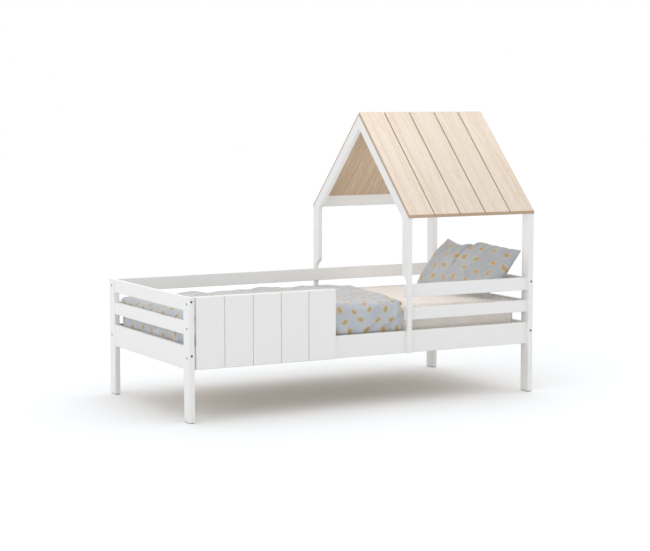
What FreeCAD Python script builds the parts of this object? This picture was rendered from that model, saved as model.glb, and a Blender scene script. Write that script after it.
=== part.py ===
import FreeCAD, Part
import math
import os
import re
import Sketcher

# House frame bed for a child, for a mattress of 80 x 160 cm.
# Frame: +X from the foot end to the head end, +Y from the entry side (near) to the far side,
# +Z up. The origin is on the floor, under the middle of the bed. Sizes are in millimetres.

DIMENSIONS = {
    # the whole bed, over the outer faces of its corner posts
    "bed_length": 1690,
    "bed_width": 868,
    "frame_top": 517,
    "ridge_height": 1256,
    # posts: thin along the bed, deep across it
    "post_thin": 24,
    "post_deep": 58,
    "mid_post_thin": 20,
    "mid_post_deep": 54,
    "mid_post_from_foot": 1033.6,
    "mid_post_proud": 2,
    "shoulder_rise": 54,
    "glide_thick": 3,
    "glide_margin": 3,
    # rails, and how far each kind stands back from the outer faces of the posts
    "rail_thick": 18,
    "side_rail_inset": 15.5,
    "end_rail_inset": 2,
    "top_rail_tall": 57,
    "mid_rail_tall": 53,
    "mid_rail_base": 362,
    "bottom_rail_tall": 96,
    "bottom_rail_base": 219,
    "eased_edge": 1.5,
    # tongues that hold the middle rails in the posts
    "tenon_long": 14,
    "tenon_thick": 8,
    "tenon_shoulder": 10,
    "mortise_spare": 0.5,
    # fence and roof boards
    "boards_in_row": 5,
    "board_gap": 1.5,
    "board_bevel": 2.5,
    "fence_board_thick": 12,
    "fence_from_foot": 32,
    "fence_length": 650,
    "roof_board_thick": 10,
    "roof_overhang": 1,
    # roof timbers
    "rafter_deep": 42,
    "beam_thick": 20,
    "eave_beam_base": 820,
    "ridge_beam_base": 1190,
    # slat base
    "bearer_thick": 22,
    "bearer_tall": 32,
    "bearer_length": 1600,
    "slat_count": 13,
    "slat_wide": 70,
    "slat_thick": 18,
    "slat_pitch": 125,
    "slat_top": 279,
    "slat_end_gap": 3.5,
    # connector screws, countersunk in the posts and driven into the ends of the rails
    "screw_shank": 6,
    "screw_bore": 6.6,
    "screw_head": 9.6,
    "screw_sunk": 0.15,
    "screw_stagger": 11,
    "side_screw_long": 50,
    "end_screw_long": 100,
    "hex_key": 4,
    "hex_deep": 2,
    # mattress and fitted sheet
    "sheet_wide": 762,
    "sheet_long": 1596,
    "sheet_tall": 138,
    "sheet_thick": 1.5,
    "sheet_fit": 0.3,
    "sheet_hem": 45,
    "sheet_from_foot": 35.5,
    "corner_radius": 34,
    "sheet_chamfer": 7.5,
    "foam_chamfer": 7,
    # quilt
    "quilt_side": 400,
    "quilt_crown": 27,
    "quilt_skirt": 122,
    "quilt_end_near": 172,
    "quilt_end_far": 362,
    "quilt_far_skirt_end": 176,
    "quilt_wave": 3.5,
    # pillow
    "pillow_long": 600,
    "pillow_tall": 286,
    "pillow_thick": 116,
    "pillow_drawn_in": 22,
    "pillow_steps": 6,
    "pillow_lean": -50,
    "pillow_turn": 4,
    "pillow_x": 712,
    "pillow_y": -74,
    "pillow_z": 535,
}

NAMED_DIMENSION = re.compile(r"\b(" + "|".join(DIMENSIONS) + r")\b")

document = FreeCAD.newDocument("HouseFrameBed")
dims = document.addObject("Spreadsheet::Sheet", "Dims")
for row, (name, value) in enumerate(DIMENSIONS.items(), start=1):
    dims.set(f"A{row}", name)
    dims.set(f"B{row}", str(value))
    dims.setAlias(f"B{row}", name)
document.recompute()

sub_parts = []


def formula(text):
    """An expression in which each dimension's name points at its cell in the sheet."""
    return NAMED_DIMENSION.sub(r"Dims.\1", str(text))


def value(name):
    """A dimension's number, read from the sheet."""
    return float(dims.get(name))


def bind(thing, prop, text):
    """Tie one property to an expression of the driving dimensions."""
    thing.setExpression(prop, formula(text))


def place(thing, at):
    """Tie the place of a sub-part's own origin to three expressions."""
    for axis, text in zip("xyz", at):
        bind(thing, f".Placement.Base.{axis}", text)


def keep(thing, label):
    """Register a finished sub-part under the name that its file takes."""
    thing.Label = label
    sub_parts.append(thing)
    return thing


# ---------------------------------------------------------------- sketches and features


def new_body(label):
    body = document.addObject("PartDesign::Body", "Body_" + label)
    return keep(body, label)


def sketch_on(body, role, offset="0"):
    """A sketch on one of the body's own origin planes, moved along the plane's normal."""
    sketch = body.newObject("Sketcher::SketchObject", body.Label + "_sketch")
    plane = [feature for feature in body.Origin.OriginFeatures if feature.Role == role][0]
    sketch.AttachmentSupport = [(plane, "")]
    sketch.MapMode = "FlatFace"
    bind(sketch, ".AttachmentOffset.Base.z", offset)
    return sketch


def pin_point(sketch, edge, vertex, tag, x_text, y_text):
    """Dimension one vertex from the sketch's origin, starting where it has been drawn."""
    drawn = sketch.getPoint(edge, vertex)
    for kind, text, start in (("DistanceX", x_text, drawn.x), ("DistanceY", y_text, drawn.y)):
        index = sketch.addConstraint(Sketcher.Constraint(kind, -1, 1, edge, vertex, start))
        sketch.renameConstraint(index, f"{kind}_{tag}")
        bind(sketch, f"Constraints.{kind}_{tag}", text)


def draw_outline(sketch, corners):
    """A closed outline of straight lines through corners given as pairs of expressions."""
    count = len(corners)
    start = sketch.GeometryCount
    turn = 2 * math.pi / count
    ring = [FreeCAD.Vector(math.cos(k * turn), math.sin(k * turn), 0) for k in range(count)]
    for k in range(count):
        sketch.addGeometry(Part.LineSegment(ring[k], ring[(k + 1) % count]), False)
    for k in range(count):
        following = start + (k + 1) % count
        sketch.addConstraint(Sketcher.Constraint("Coincident", start + k, 2, following, 1))
        pin_point(sketch, start + k, 1, f"{start + k}", *corners[k])


def draw_circle(sketch, centre, diameter):
    """A circle at a pair of expressions."""
    index = sketch.addGeometry(Part.Circle(FreeCAD.Vector(0, 0, 0), FreeCAD.Vector(0, 0, 1), 3), False)
    pin_point(sketch, index, 3, f"{index}", *centre)
    ring = sketch.addConstraint(Sketcher.Constraint("Diameter", index, 6.0))
    sketch.renameConstraint(ring, f"diameter_{index}")
    bind(sketch, f"Constraints.diameter_{index}", diameter)


def rectangle(x_low, y_low, x_high, y_high):
    return [(x_low, y_low), (x_high, y_low), (x_high, y_high), (x_low, y_high)]


def extrude(body, sketch, length, kind="Pad", forward=True):
    """Pad a sketch along its normal, or pocket with it. A pocket cuts against the normal."""
    feature = body.newObject("PartDesign::" + kind, f"{body.Label}_{kind.lower()}")
    feature.Profile = sketch
    feature.Reversed = forward if kind == "Pocket" else not forward
    bind(feature, "Length", length)
    sketch.Visibility = False
    return feature


def edge_runs_along(edge, axis):
    """Whether a straight edge is parallel to one axis."""
    if not isinstance(edge.Curve, (Part.Line, Part.LineSegment)):
        return False
    direction = edge.tangentAt(edge.FirstParameter)
    return abs(direction.dot(axis)) > 0.999


def ease_edges(body, axis, chosen=None):
    """Take the sharp corners off the edges that run along one direction."""
    document.recompute()
    base = body.Tip
    names = []
    for number, edge in enumerate(base.Shape.Edges, start=1):
        if edge_runs_along(edge, axis) and (chosen is None or chosen(edge)):
            names.append(f"Edge{number}")
    chamfer = body.newObject("PartDesign::Chamfer", body.Label + "_eased")
    chamfer.Base = (base, names)
    bind(chamfer, "Size", "eased_edge")


X_AXIS = FreeCAD.Vector(1, 0, 0)
Y_AXIS = FreeCAD.Vector(0, 1, 0)
Z_AXIS = FreeCAD.Vector(0, 0, 1)


def timber(label, low, size, grain):
    """A planed length of wood between two corners, its long edges eased."""
    body = new_body(label)
    sketch = sketch_on(body, "XY_Plane")
    draw_outline(sketch, rectangle("0", "0", size[0], size[1]))
    extrude(body, sketch, size[2])
    ease_edges(body, grain)
    place(body, low)
    return body


def bore(body, role, offset, centres, diameter, depth, forward):
    """Round holes from a plane of the body into the wood."""
    sketch = sketch_on(body, role, offset)
    for centre in centres:
        draw_circle(sketch, centre, diameter)
    return extrude(body, sketch, depth, "Pocket", forward)


# The drilling heights of the screws, from the floor. The screws of the end rails pass over those
# of the side rails inside the post, so they stand a little higher.
TOP_SCREW = "(frame_top - top_rail_tall / 2)"
MID_SCREW = "(mid_rail_base + mid_rail_tall / 2)"
BOTTOM_SCREW = "(bottom_rail_base + bottom_rail_tall / 2)"
END_TOP_SCREW = f"({TOP_SCREW} + screw_stagger)"
END_BOTTOM_SCREW = f"({BOTTOM_SCREW} + screw_stagger)"
SCREW_SINK = "((screw_head - screw_shank) / 2)"

# Places that several pieces share, measured from the middle of the bed.
HALF_LONG = "(bed_length / 2)"
HALF_WIDE = "(bed_width / 2)"
POST_INSIDE_X = f"({HALF_LONG} - post_thin)"
POST_INSIDE_Y = f"({HALF_WIDE} - post_deep)"
SIDE_RAIL_OUT = f"({HALF_WIDE} - side_rail_inset)"
SIDE_RAIL_IN = f"({SIDE_RAIL_OUT} - rail_thick)"
END_RAIL_OUT = f"({HALF_LONG} - end_rail_inset)"
END_RAIL_IN = f"({END_RAIL_OUT} - rail_thick)"
MID_POST_X = f"(mid_post_from_foot - {HALF_LONG})"
MID_POST_OUT = f"({HALF_WIDE} + mid_post_proud)"
BOARD_DROP = "(roof_board_thick * sqrt(2))"
RAFTER_DROP = "(rafter_deep * sqrt(2))"
RAFTER_TOP = f"(ridge_height - {BOARD_DROP})"
RAFTER_UNDER = f"({RAFTER_TOP} - {RAFTER_DROP})"
POST_TENON_BASE = "(mid_rail_base + tenon_shoulder)"
POST_TENON_TALL = "(mid_rail_tall - 2 * tenon_shoulder)"


# ---------------------------------------------------------------- corner posts


def countersink(body, centre_axis, face_at):
    """Cone seats at the mouths of the bores that open in one face of the post."""
    document.recompute()
    base = body.Tip
    names = []
    for number, edge in enumerate(base.Shape.Edges, start=1):
        is_round = isinstance(edge.Curve, Part.Circle)
        if is_round and abs(edge.CenterOfMass.dot(centre_axis) - face_at) < 0.01:
            names.append(f"Edge{number}")
    chamfer = body.newObject("PartDesign::Chamfer", body.Label + "_seats")
    chamfer.Base = (base, names)
    bind(chamfer, "Size", SCREW_SINK)


def corner_post(label, end, side, top, side_screws, mid_side_tenon):
    """A corner post, drilled for its rails' screws and mortised for its middle rails.

    end is -1 at the foot and +1 at the head, side is -1 on the near side and +1 on the far
    one. The body's origin is the low corner of the post.
    """
    x_low = f"(-{HALF_LONG})" if end < 0 else POST_INSIDE_X
    y_low = f"(-{HALF_WIDE})" if side < 0 else POST_INSIDE_Y
    tall = f"({top} - glide_thick)"
    post = timber(label, (x_low, y_low, "glide_thick"), ("post_thin", "post_deep", tall), Z_AXIS)

    rail_middle = "(side_rail_inset + rail_thick / 2)"
    across = rail_middle if side < 0 else f"(post_deep - {rail_middle})"
    along = "(end_rail_inset + rail_thick / 2)"
    along = along if end < 0 else f"(post_thin - {along})"

    # screws of the side rails: along the bed, heads sunk in the post's outer face
    outer_x = "0" if end < 0 else "post_thin"
    centres = [(across, f"{height} - glide_thick") for height in side_screws]
    bore(post, "YZ_Plane", outer_x, centres, "screw_bore", "post_thin", end < 0)
    countersink(post, X_AXIS, 0 if end < 0 else value("post_thin"))

    # screws of the end rails: across the bed. This plane's normal points to -Y.
    outer_y = "0" if side < 0 else "-post_deep"
    centres = [(along, f"{height} - glide_thick") for height in (END_TOP_SCREW, END_BOTTOM_SCREW)]
    bore(post, "XZ_Plane", outer_y, centres, "screw_bore", "post_deep", side > 0)
    countersink(post, Y_AXIS, 0 if side < 0 else value("post_deep"))

    # mortise of the middle end rail, in the face towards the bed's middle line
    slot_low = f"{POST_TENON_BASE} - glide_thick"
    slot_high = f"{slot_low} + {POST_TENON_TALL}"
    deep = "tenon_long + mortise_spare"
    inner_y = "-post_deep" if side < 0 else "0"
    sketch = sketch_on(post, "XZ_Plane", inner_y)
    edges = (f"{along} - tenon_thick / 2", slot_low, f"{along} + tenon_thick / 2", slot_high)
    draw_outline(sketch, rectangle(*edges))
    extrude(post, sketch, deep, "Pocket", side < 0)

    if mid_side_tenon:
        inner_x = "post_thin" if end < 0 else "0"
        sketch = sketch_on(post, "YZ_Plane", inner_x)
        edges = (f"{across} - tenon_thick / 2", slot_low, f"{across} + tenon_thick / 2", slot_high)
        draw_outline(sketch, rectangle(*edges))
        extrude(post, sketch, deep, "Pocket", end > 0)
    return post


# The head posts stop at the seat of the rafters.
HEAD_POST_TOP = f"({RAFTER_UNDER} - {POST_INSIDE_Y})"
MID_POST_IN = f"({MID_POST_OUT} - mid_post_deep)"
MID_POST_TOP = f"({RAFTER_UNDER} - {MID_POST_IN})"

three_screws = (TOP_SCREW, MID_SCREW, BOTTOM_SCREW)
two_screws = (TOP_SCREW, BOTTOM_SCREW)
corner_post("post_foot_near", -1, -1, "frame_top", three_screws, False)
corner_post("post_foot_far", -1, 1, "frame_top", two_screws, True)
corner_post("post_head_near", 1, -1, HEAD_POST_TOP, three_screws, False)
corner_post("post_head_far", 1, 1, HEAD_POST_TOP, two_screws, True)


# ---------------------------------------------------------------- rails


def add_tongue(rail, role, offset, forward, length, tall):
    """A tongue through the rail that stands out at both ends, seated in the posts' mortises."""
    low = "rail_thick / 2 - tenon_thick / 2"
    high = "rail_thick / 2 + tenon_thick / 2"
    sketch = sketch_on(rail, role, offset)
    draw_outline(sketch, rectangle(low, "tenon_shoulder", high, f"{tall} - tenon_shoulder"))
    extrude(rail, sketch, f"{length} + 2 * tenon_long", "Pad", forward)


def side_rail(label, side, x_low, x_high, base, tall, screwed_ends):
    """A rail along the bed. screwed_ends lists its ends that take a screw: -1, +1.

    A rail without screws has a tongue at each end instead.
    """
    length = f"({x_high} - {x_low})"
    y_low = f"(-{SIDE_RAIL_OUT})" if side < 0 else SIDE_RAIL_IN
    rail = timber(label, (x_low, y_low, base), (length, "rail_thick", tall), X_AXIS)
    depth = "side_screw_long - post_thin + 2"
    for end in screwed_ends:
        end_at = "0" if end < 0 else length
        centre = ("rail_thick / 2", f"{tall} / 2")
        bore(rail, "YZ_Plane", end_at, [centre], "screw_bore", depth, end < 0)
    if not screwed_ends:
        add_tongue(rail, "YZ_Plane", "-tenon_long", True, length, tall)


def end_rail(label, end, base, tall, screwed):
    """A rail across the bed, screwed or tongued into the corner posts."""
    x_low = f"(-{END_RAIL_OUT})" if end < 0 else END_RAIL_IN
    length = f"(2 * {POST_INSIDE_Y})"
    rail = timber(label, (x_low, f"(-{POST_INSIDE_Y})", base), ("rail_thick", length, tall), Y_AXIS)
    if not screwed:
        add_tongue(rail, "XZ_Plane", "tenon_long", False, length, tall)
        return
    centre = ("rail_thick / 2", f"{tall} / 2 + screw_stagger")
    for end_at, forward in (("0", False), (f"-{length}", True)):
        bore(rail, "XZ_Plane", end_at, [centre], "screw_bore", "end_screw_long - post_deep + 2", forward)


TOP_RAIL_BASE = "(frame_top - top_rail_tall)"
LEVELS = {
    "top": (TOP_RAIL_BASE, "top_rail_tall"),
    "mid": ("mid_rail_base", "mid_rail_tall"),
    "bottom": ("bottom_rail_base", "bottom_rail_tall"),
}
FOOT_POST_FACE = f"(-{POST_INSIDE_X})"
FENCE_START = f"(fence_from_foot - {HALF_LONG})"
FENCE_RAIL_END = f"({FENCE_START} + fence_length - 3)"

for level, (base, tall) in LEVELS.items():
    screwed = level != "mid"
    end_rail(f"foot_rail_{level}", -1, base, tall, screwed)
    end_rail(f"head_rail_{level}", 1, base, tall, screwed)
    ends = (-1, 1) if screwed else ()
    side_rail(f"far_rail_{level}", 1, FOOT_POST_FACE, POST_INSIDE_X, base, tall, ends)

side_rail("near_rail_bottom", -1, FOOT_POST_FACE, POST_INSIDE_X, *LEVELS["bottom"], (-1, 1))
for level in ("top", "mid"):
    side_rail(f"guard_rail_{level}", -1, MID_POST_X, POST_INSIDE_X, *LEVELS[level], (1,))
    side_rail(f"fence_rail_{level}", -1, FOOT_POST_FACE, FENCE_RAIL_END, *LEVELS[level], (-1,))


# ---------------------------------------------------------------- mid posts


def mid_post(label, side):
    """A post of the roof frame, halved where it laps over the outside of the side rails.

    Seen along the bed, the lap runs up into the full post through an ogee shoulder: two equal
    arcs, each upright where it meets its straight edge, that turn into each other half way.
    The outline is drawn in a plane across the bed, with y from the post's outer face inwards.
    """
    step = value("mid_post_deep") - value("mid_post_proud") - value("side_rail_inset")
    rise = value("shoulder_rise")
    radius = (step ** 2 + rise ** 2) / (4 * step)
    lap = value("mid_post_proud") + value("side_rail_inset")
    deep = value("mid_post_deep")
    foot = value("frame_top") + 1
    sweep = math.asin(rise / 2 / radius)

    lap_x, deep_x, sign = (-lap, -deep, -1) if side > 0 else (lap, deep, 1)
    centre_low = FreeCAD.Vector(sign * (lap + radius), foot, 0)
    centre_high = FreeCAD.Vector(sign * (deep - radius), foot + rise, 0)
    up = FreeCAD.Vector(0, 0, 1)
    body = new_body(label)
    sketch = sketch_on(body, "YZ_Plane")
    if sign > 0:
        low_arc = Part.ArcOfCircle(Part.Circle(centre_low, up, radius), math.pi - sweep, math.pi)
        high_arc = Part.ArcOfCircle(Part.Circle(centre_high, up, radius), -sweep, 0)
    else:
        low_arc = Part.ArcOfCircle(Part.Circle(centre_low, up, radius), 0, sweep)
        high_arc = Part.ArcOfCircle(Part.Circle(centre_high, up, radius), math.pi, math.pi + sweep)
    top = value("ridge_height") - value("roof_board_thick") * math.sqrt(2)
    top -= value("rafter_deep") * math.sqrt(2)
    top -= value("bed_width") / 2 + value("mid_post_proud") - deep
    corners = [
        FreeCAD.Vector(0, value("bottom_rail_base"), 0),
        FreeCAD.Vector(lap_x, value("bottom_rail_base"), 0),
        FreeCAD.Vector(lap_x, foot, 0),
        FreeCAD.Vector(deep_x, foot + rise, 0),
        FreeCAD.Vector(deep_x, top, 0),
        FreeCAD.Vector(0, top, 0),
    ]
    # straight edges: 0 bottom, 1 lap, 2 upper inner face, 3 top, 4 outer face; arcs: 5 low, 6 high
    for start, finish in ((0, 1), (1, 2), (3, 4), (4, 5), (5, 0)):
        sketch.addGeometry(Part.LineSegment(corners[start], corners[finish]), False)
    sketch.addGeometry(low_arc, False)
    sketch.addGeometry(high_arc, False)
    low_end, low_middle = (2, 1) if sign > 0 else (1, 2)
    high_end, high_middle = (2, 1) if sign > 0 else (1, 2)
    joins = [(0, 2, 1, 1), (5, low_middle, 6, high_middle), (2, 2, 3, 1), (3, 2, 4, 1), (4, 2, 0, 1)]
    for join in joins:
        sketch.addConstraint(Sketcher.Constraint("Coincident", *join))
    minus = "-" if side > 0 else ""
    lap_text = f"{minus}(mid_post_proud + side_rail_inset)"
    deep_text = f"{minus}mid_post_deep"
    half_text = f"({lap_text} + {deep_text}) / 2"
    pin_point(sketch, 0, 1, "heel", "0", "bottom_rail_base")
    pin_point(sketch, 1, 1, "toe", lap_text, "bottom_rail_base")
    pin_point(sketch, 1, 2, "lap", lap_text, "frame_top + 1")
    pin_point(sketch, 5, low_middle, "half", half_text, "frame_top + 1 + shoulder_rise / 2")
    pin_point(sketch, 2, 1, "full", deep_text, "frame_top + 1 + shoulder_rise")
    pin_point(sketch, 2, 2, "inner", deep_text, MID_POST_TOP)
    pin_point(sketch, 4, 1, "outer", "0", MID_POST_TOP)
    sketch.addConstraint(Sketcher.Constraint("Tangent", 1, 2, 5, low_end))
    sketch.addConstraint(Sketcher.Constraint("Tangent", 6, high_end, 2, 1))
    extrude(body, sketch, "mid_post_thin")
    outer = MID_POST_OUT if side > 0 else f"(-{MID_POST_OUT})"
    place(body, (MID_POST_X, outer, "0"))
    ease_edges(body, Z_AXIS, lambda edge: abs(edge.CenterOfMass.y) < 0.1)
    ease_edges(body, Z_AXIS, lambda edge: abs(edge.CenterOfMass.y) > value("mid_post_deep") - 0.1)


for label, side in (("mid_post_near", -1), ("mid_post_far", 1)):
    mid_post(label, side)


# ---------------------------------------------------------------- fence boards


def bevelled_board(body, is_outer_edge):
    """Bevel the two long outer edges, so that neighbours meet in a small V."""
    document.recompute()
    base = body.Tip
    names = [f"Edge{n}" for n, edge in enumerate(base.Shape.Edges, start=1) if is_outer_edge(edge)]
    chamfer = body.newObject("PartDesign::Chamfer", body.Label + "_bevel")
    chamfer.Base = (base, names)
    bind(chamfer, "Size", "board_bevel")


for number in range(1, int(value("boards_in_row")) + 1):
    board = new_body(f"fence_board_{number}")
    sketch = sketch_on(board, "XY_Plane")
    wide = "fence_length / boards_in_row - board_gap"
    draw_outline(sketch, rectangle("0", "0", wide, "fence_board_thick"))
    extrude(board, sketch, "frame_top - bottom_rail_base")
    x_low = f"{FENCE_START} + {number - 1} * fence_length / boards_in_row + board_gap / 2"
    place(board, (x_low, f"-{SIDE_RAIL_OUT} - fence_board_thick", "bottom_rail_base"))
    bevelled_board(board, lambda edge: abs(edge.CenterOfMass.y) < 0.01)


# ---------------------------------------------------------------- roof


def roof_piece(label, side, x_low, thin, corners):
    """A roof timber drawn in a plane across the bed; corners are (distance out, height)."""
    body = new_body(label)
    sketch = sketch_on(body, "YZ_Plane")
    minus = "-" if side < 0 else ""
    draw_outline(sketch, [(f"{minus}({out})", high) for out, high in corners])
    extrude(body, sketch, thin)
    place(body, (x_low, "0", "0"))
    return body


RAFTER_X = {"foot": MID_POST_X, "head": f"({HALF_LONG} - mid_post_thin)"}
SEATS = {
    "foot": (MID_POST_OUT, MID_POST_IN, MID_POST_TOP),
    "head": (HALF_WIDE, POST_INSIDE_Y, HEAD_POST_TOP),
}
EAVE_OUT = f"({MID_POST_OUT} + roof_overhang)"
EAVE_BEAM_IN = MID_POST_IN
EAVE_BEAM_OUT = f"({EAVE_BEAM_IN} + beam_thick)"
BEAM_START = f"({MID_POST_X} + mid_post_thin)"
BEAM_LENGTH = f"({HALF_LONG} - mid_post_thin - {BEAM_START})"


def is_rafter_under_edge(edge):
    """Whether an edge down the slope lies in the rafter's lower face."""
    middle = edge.CenterOfMass
    outline_top = value("ridge_height") - value("roof_board_thick") * math.sqrt(2)
    return middle.z + abs(middle.y) < outline_top - value("rafter_deep")


def is_beam_under_edge(edge):
    """Whether an edge along a roof beam lies in its lower face."""
    middle = edge.CenterOfMass.z
    return min(abs(middle - value("eave_beam_base")), abs(middle - value("ridge_beam_base"))) < 0.01


for gable, (outer, inner, seat) in SEATS.items():
    # a mitre on the middle line, a level seat on the post and a plumb heel over its outer face
    rafter = [("0", RAFTER_TOP), ("0", RAFTER_UNDER), (inner, seat), (outer, seat)]
    rafter.append((outer, f"{RAFTER_TOP} - {outer}"))
    for side_name, side in (("near", -1), ("far", 1)):
        body = roof_piece(f"rafter_{gable}_{side_name}", side, RAFTER_X[gable], "mid_post_thin", rafter)
        slope_axis = (Y_AXIS * side - Z_AXIS).normalize()
        ease_edges(body, slope_axis, is_rafter_under_edge)

for side_name, side in (("near", -1), ("far", 1)):
    beam = [(EAVE_BEAM_IN, "eave_beam_base"), (EAVE_BEAM_OUT, "eave_beam_base")]
    beam.append((EAVE_BEAM_OUT, f"{RAFTER_TOP} - {EAVE_BEAM_OUT}"))
    beam.append((EAVE_BEAM_IN, f"{RAFTER_TOP} - {EAVE_BEAM_IN}"))
    beam_body = roof_piece(f"eave_beam_{side_name}", side, BEAM_START, BEAM_LENGTH, beam)
    ease_edges(beam_body, X_AXIS, is_beam_under_edge)

half_beam = "beam_thick / 2"
ridge = [(f"-{half_beam}", "ridge_beam_base"), (half_beam, "ridge_beam_base")]
ridge += [(half_beam, f"{RAFTER_TOP} - {half_beam}"), ("0", RAFTER_TOP)]
ridge.append((f"-{half_beam}", f"{RAFTER_TOP} - {half_beam}"))
ridge_body = roof_piece("ridge_beam", 1, BEAM_START, BEAM_LENGTH, ridge)
ease_edges(ridge_body, X_AXIS, is_beam_under_edge)

# Boards run from the ridge down to the eave, plumb at both ends.
ROOF_LENGTH = f"({HALF_LONG} - {MID_POST_X})"
slope = [("0", "ridge_height"), ("0", RAFTER_TOP), (EAVE_OUT, f"{RAFTER_TOP} - {EAVE_OUT}")]
slope.append((EAVE_OUT, f"ridge_height - {EAVE_OUT}"))


def is_roof_top_edge(edge):
    """Whether an edge runs down the slope in the board's upper face."""
    middle = edge.CenterOfMass
    on_top = abs(middle.z + abs(middle.y) - value("ridge_height")) < 0.01
    return on_top and not edge_runs_along(edge, X_AXIS)


for side_name, side in (("near", -1), ("far", 1)):
    for number in range(1, int(value("boards_in_row")) + 1):
        start = f"{MID_POST_X} + {number - 1} * {ROOF_LENGTH} / boards_in_row + board_gap / 2"
        wide = f"{ROOF_LENGTH} / boards_in_row - board_gap"
        board = roof_piece(f"roof_board_{side_name}_{number}", side, start, wide, slope)
        bevelled_board(board, is_roof_top_edge)


# ---------------------------------------------------------------- slat base

BEARER_TOP = "(slat_top - slat_thick)"
for side_name, side in (("near", -1), ("far", 1)):
    y_low = f"(-{SIDE_RAIL_IN})" if side < 0 else f"({SIDE_RAIL_IN} - bearer_thick)"
    low = ("-bearer_length / 2", y_low, f"{BEARER_TOP} - bearer_tall")
    timber(f"slat_bearer_{side_name}", low, ("bearer_length", "bearer_thick", "bearer_tall"), X_AXIS)


def repeat(label, shapes):
    """Separate, equal solids that share one node."""
    group = document.addObject("Part::Compound", "Group_" + label)
    group.Links = shapes
    return keep(group, label)


def simple_box(name, low, size):
    box = document.addObject("Part::Box", name)
    for prop, text in zip(("Length", "Width", "Height"), size):
        bind(box, prop, text)
    place(box, low)
    return box


slats = []
for number in range(int(value("slat_count"))):
    x_low = f"({number} - (slat_count - 1) / 2) * slat_pitch - slat_wide / 2"
    half = f"({SIDE_RAIL_IN} - slat_end_gap)"
    low = (x_low, f"(-{half})", BEARER_TOP)
    slats.append(simple_box(f"Slat{number + 1}", low, ("slat_wide", f"2 * {half}", "slat_thick")))
repeat("slats", slats)

glides = []
for end in (-1, 1):
    for side in (-1, 1):
        x_low = f"-{HALF_LONG} + glide_margin" if end < 0 else f"{POST_INSIDE_X} + glide_margin"
        y_low = f"-{HALF_WIDE} + glide_margin" if side < 0 else f"{POST_INSIDE_Y} + glide_margin"
        size = ("post_thin - 2 * glide_margin", "post_deep - 2 * glide_margin", "glide_thick")
        glides.append(simple_box(f"Glide{len(glides) + 1}", (x_low, y_low, "0"), size))
repeat("floor_glides", glides)


# ---------------------------------------------------------------- connector screws


def connector_screw(name, long):
    """A screw along +Z from the top of its flat head, with a hexagon socket in the head."""
    head = document.addObject("Part::Cone", name + "Head")
    bind(head, "Radius1", "screw_head / 2")
    bind(head, "Radius2", "screw_shank / 2")
    bind(head, "Height", SCREW_SINK)
    shank = document.addObject("Part::Cylinder", name + "Shank")
    bind(shank, "Radius", "screw_shank / 2")
    bind(shank, "Height", f"{long} - {SCREW_SINK}")
    place(shank, ("0", "0", SCREW_SINK))
    whole = document.addObject("Part::Fuse", name + "Blank")
    whole.Base = head
    whole.Tool = shank
    key = document.addObject("Part::Prism", name + "Key")
    key.Polygon = 6
    bind(key, "Circumradius", "hex_key / sqrt(3)")
    bind(key, "Height", "hex_deep + 1")
    place(key, ("0", "0", "-1"))
    screw = document.addObject("Part::Cut", name)
    screw.Base = whole
    screw.Tool = key
    return screw


def drive(screws, screw, direction, at):
    """The same screw again, laid along a direction with its head at a place."""
    again = document.addObject("Part::Compound", f"{screw.Name}{len(screws) + 1}")
    again.Links = [screw]
    again.Placement.Rotation = FreeCAD.Rotation(Z_AXIS, direction)
    place(again, at)
    screws.append(again)


RAIL_MIDDLE_Y = f"({SIDE_RAIL_OUT} - rail_thick / 2)"
RAIL_MIDDLE_X = f"({END_RAIL_OUT} - rail_thick / 2)"
side_screw = connector_screw("SideScrew", "side_screw_long")
end_screw = connector_screw("EndScrew", "end_screw_long")

side_screws, end_screws = [], []
for end in (-1, 1):
    for side in (-1, 1):
        x_sign = "-" if end < 0 else ""
        y_sign = "-" if side < 0 else ""
        for height in three_screws if side < 0 else two_screws:
            at = (f"{x_sign}({HALF_LONG} - screw_sunk)", f"{y_sign}{RAIL_MIDDLE_Y}", height)
            drive(side_screws, side_screw, X_AXIS * -end, at)
        for height in (END_TOP_SCREW, END_BOTTOM_SCREW):
            at = (f"{x_sign}{RAIL_MIDDLE_X}", f"{y_sign}({HALF_WIDE} - screw_sunk)", height)
            drive(end_screws, end_screw, Y_AXIS * -side, at)
repeat("side_rail_screws", side_screws)
repeat("end_rail_screws", end_screws)


# ---------------------------------------------------------------- mattress and fitted sheet


def rims_of(shape, with_lower):
    """The numbers of the edges round a block's upper face, and if asked its lower face."""
    box = shape.BoundBox
    numbers = []
    for number, edge in enumerate(shape.Edges, start=1):
        height = edge.CenterOfMass.z
        if abs(height - box.ZMax) < 0.01 or (with_lower and abs(height - box.ZMin) < 0.01):
            numbers.append(number)
    return numbers


def soft_block(name, inset, finish, size, with_lower=False):
    """The bedding's block, drawn in all round by an inset.

    Its upright corners are round. finish is the feature that shapes its rims, by size.
    """
    low = [f"sheet_from_foot - {HALF_LONG} + {inset}", f"-sheet_wide / 2 + {inset}", f"slat_top + {inset}"]
    full = (f"sheet_long - 2 * ({inset})", f"sheet_wide - 2 * ({inset})", f"sheet_tall - 2 * ({inset})")
    block = simple_box(name + "Block", low, full)
    document.recompute()
    radius = value("corner_radius") - (block.Placement.Base.z - value("slat_top"))
    upright = [n for n, e in enumerate(block.Shape.Edges, start=1) if edge_runs_along(e, Z_AXIS)]
    corners = document.addObject("Part::Fillet", name + "Corners")
    corners.Base = block
    corners.Edges = [(n, radius, radius) for n in upright]
    document.recompute()
    rounded = document.addObject("Part::" + finish, name)
    rounded.Base = corners
    rounded.Edges = [(n, size, size) for n in rims_of(corners.Shape, with_lower)]
    document.recompute()
    return rounded


foam = soft_block("Foam", "sheet_thick + sheet_fit", "Chamfer", value("foam_chamfer"), True)
keep(foam, "mattress")

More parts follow.
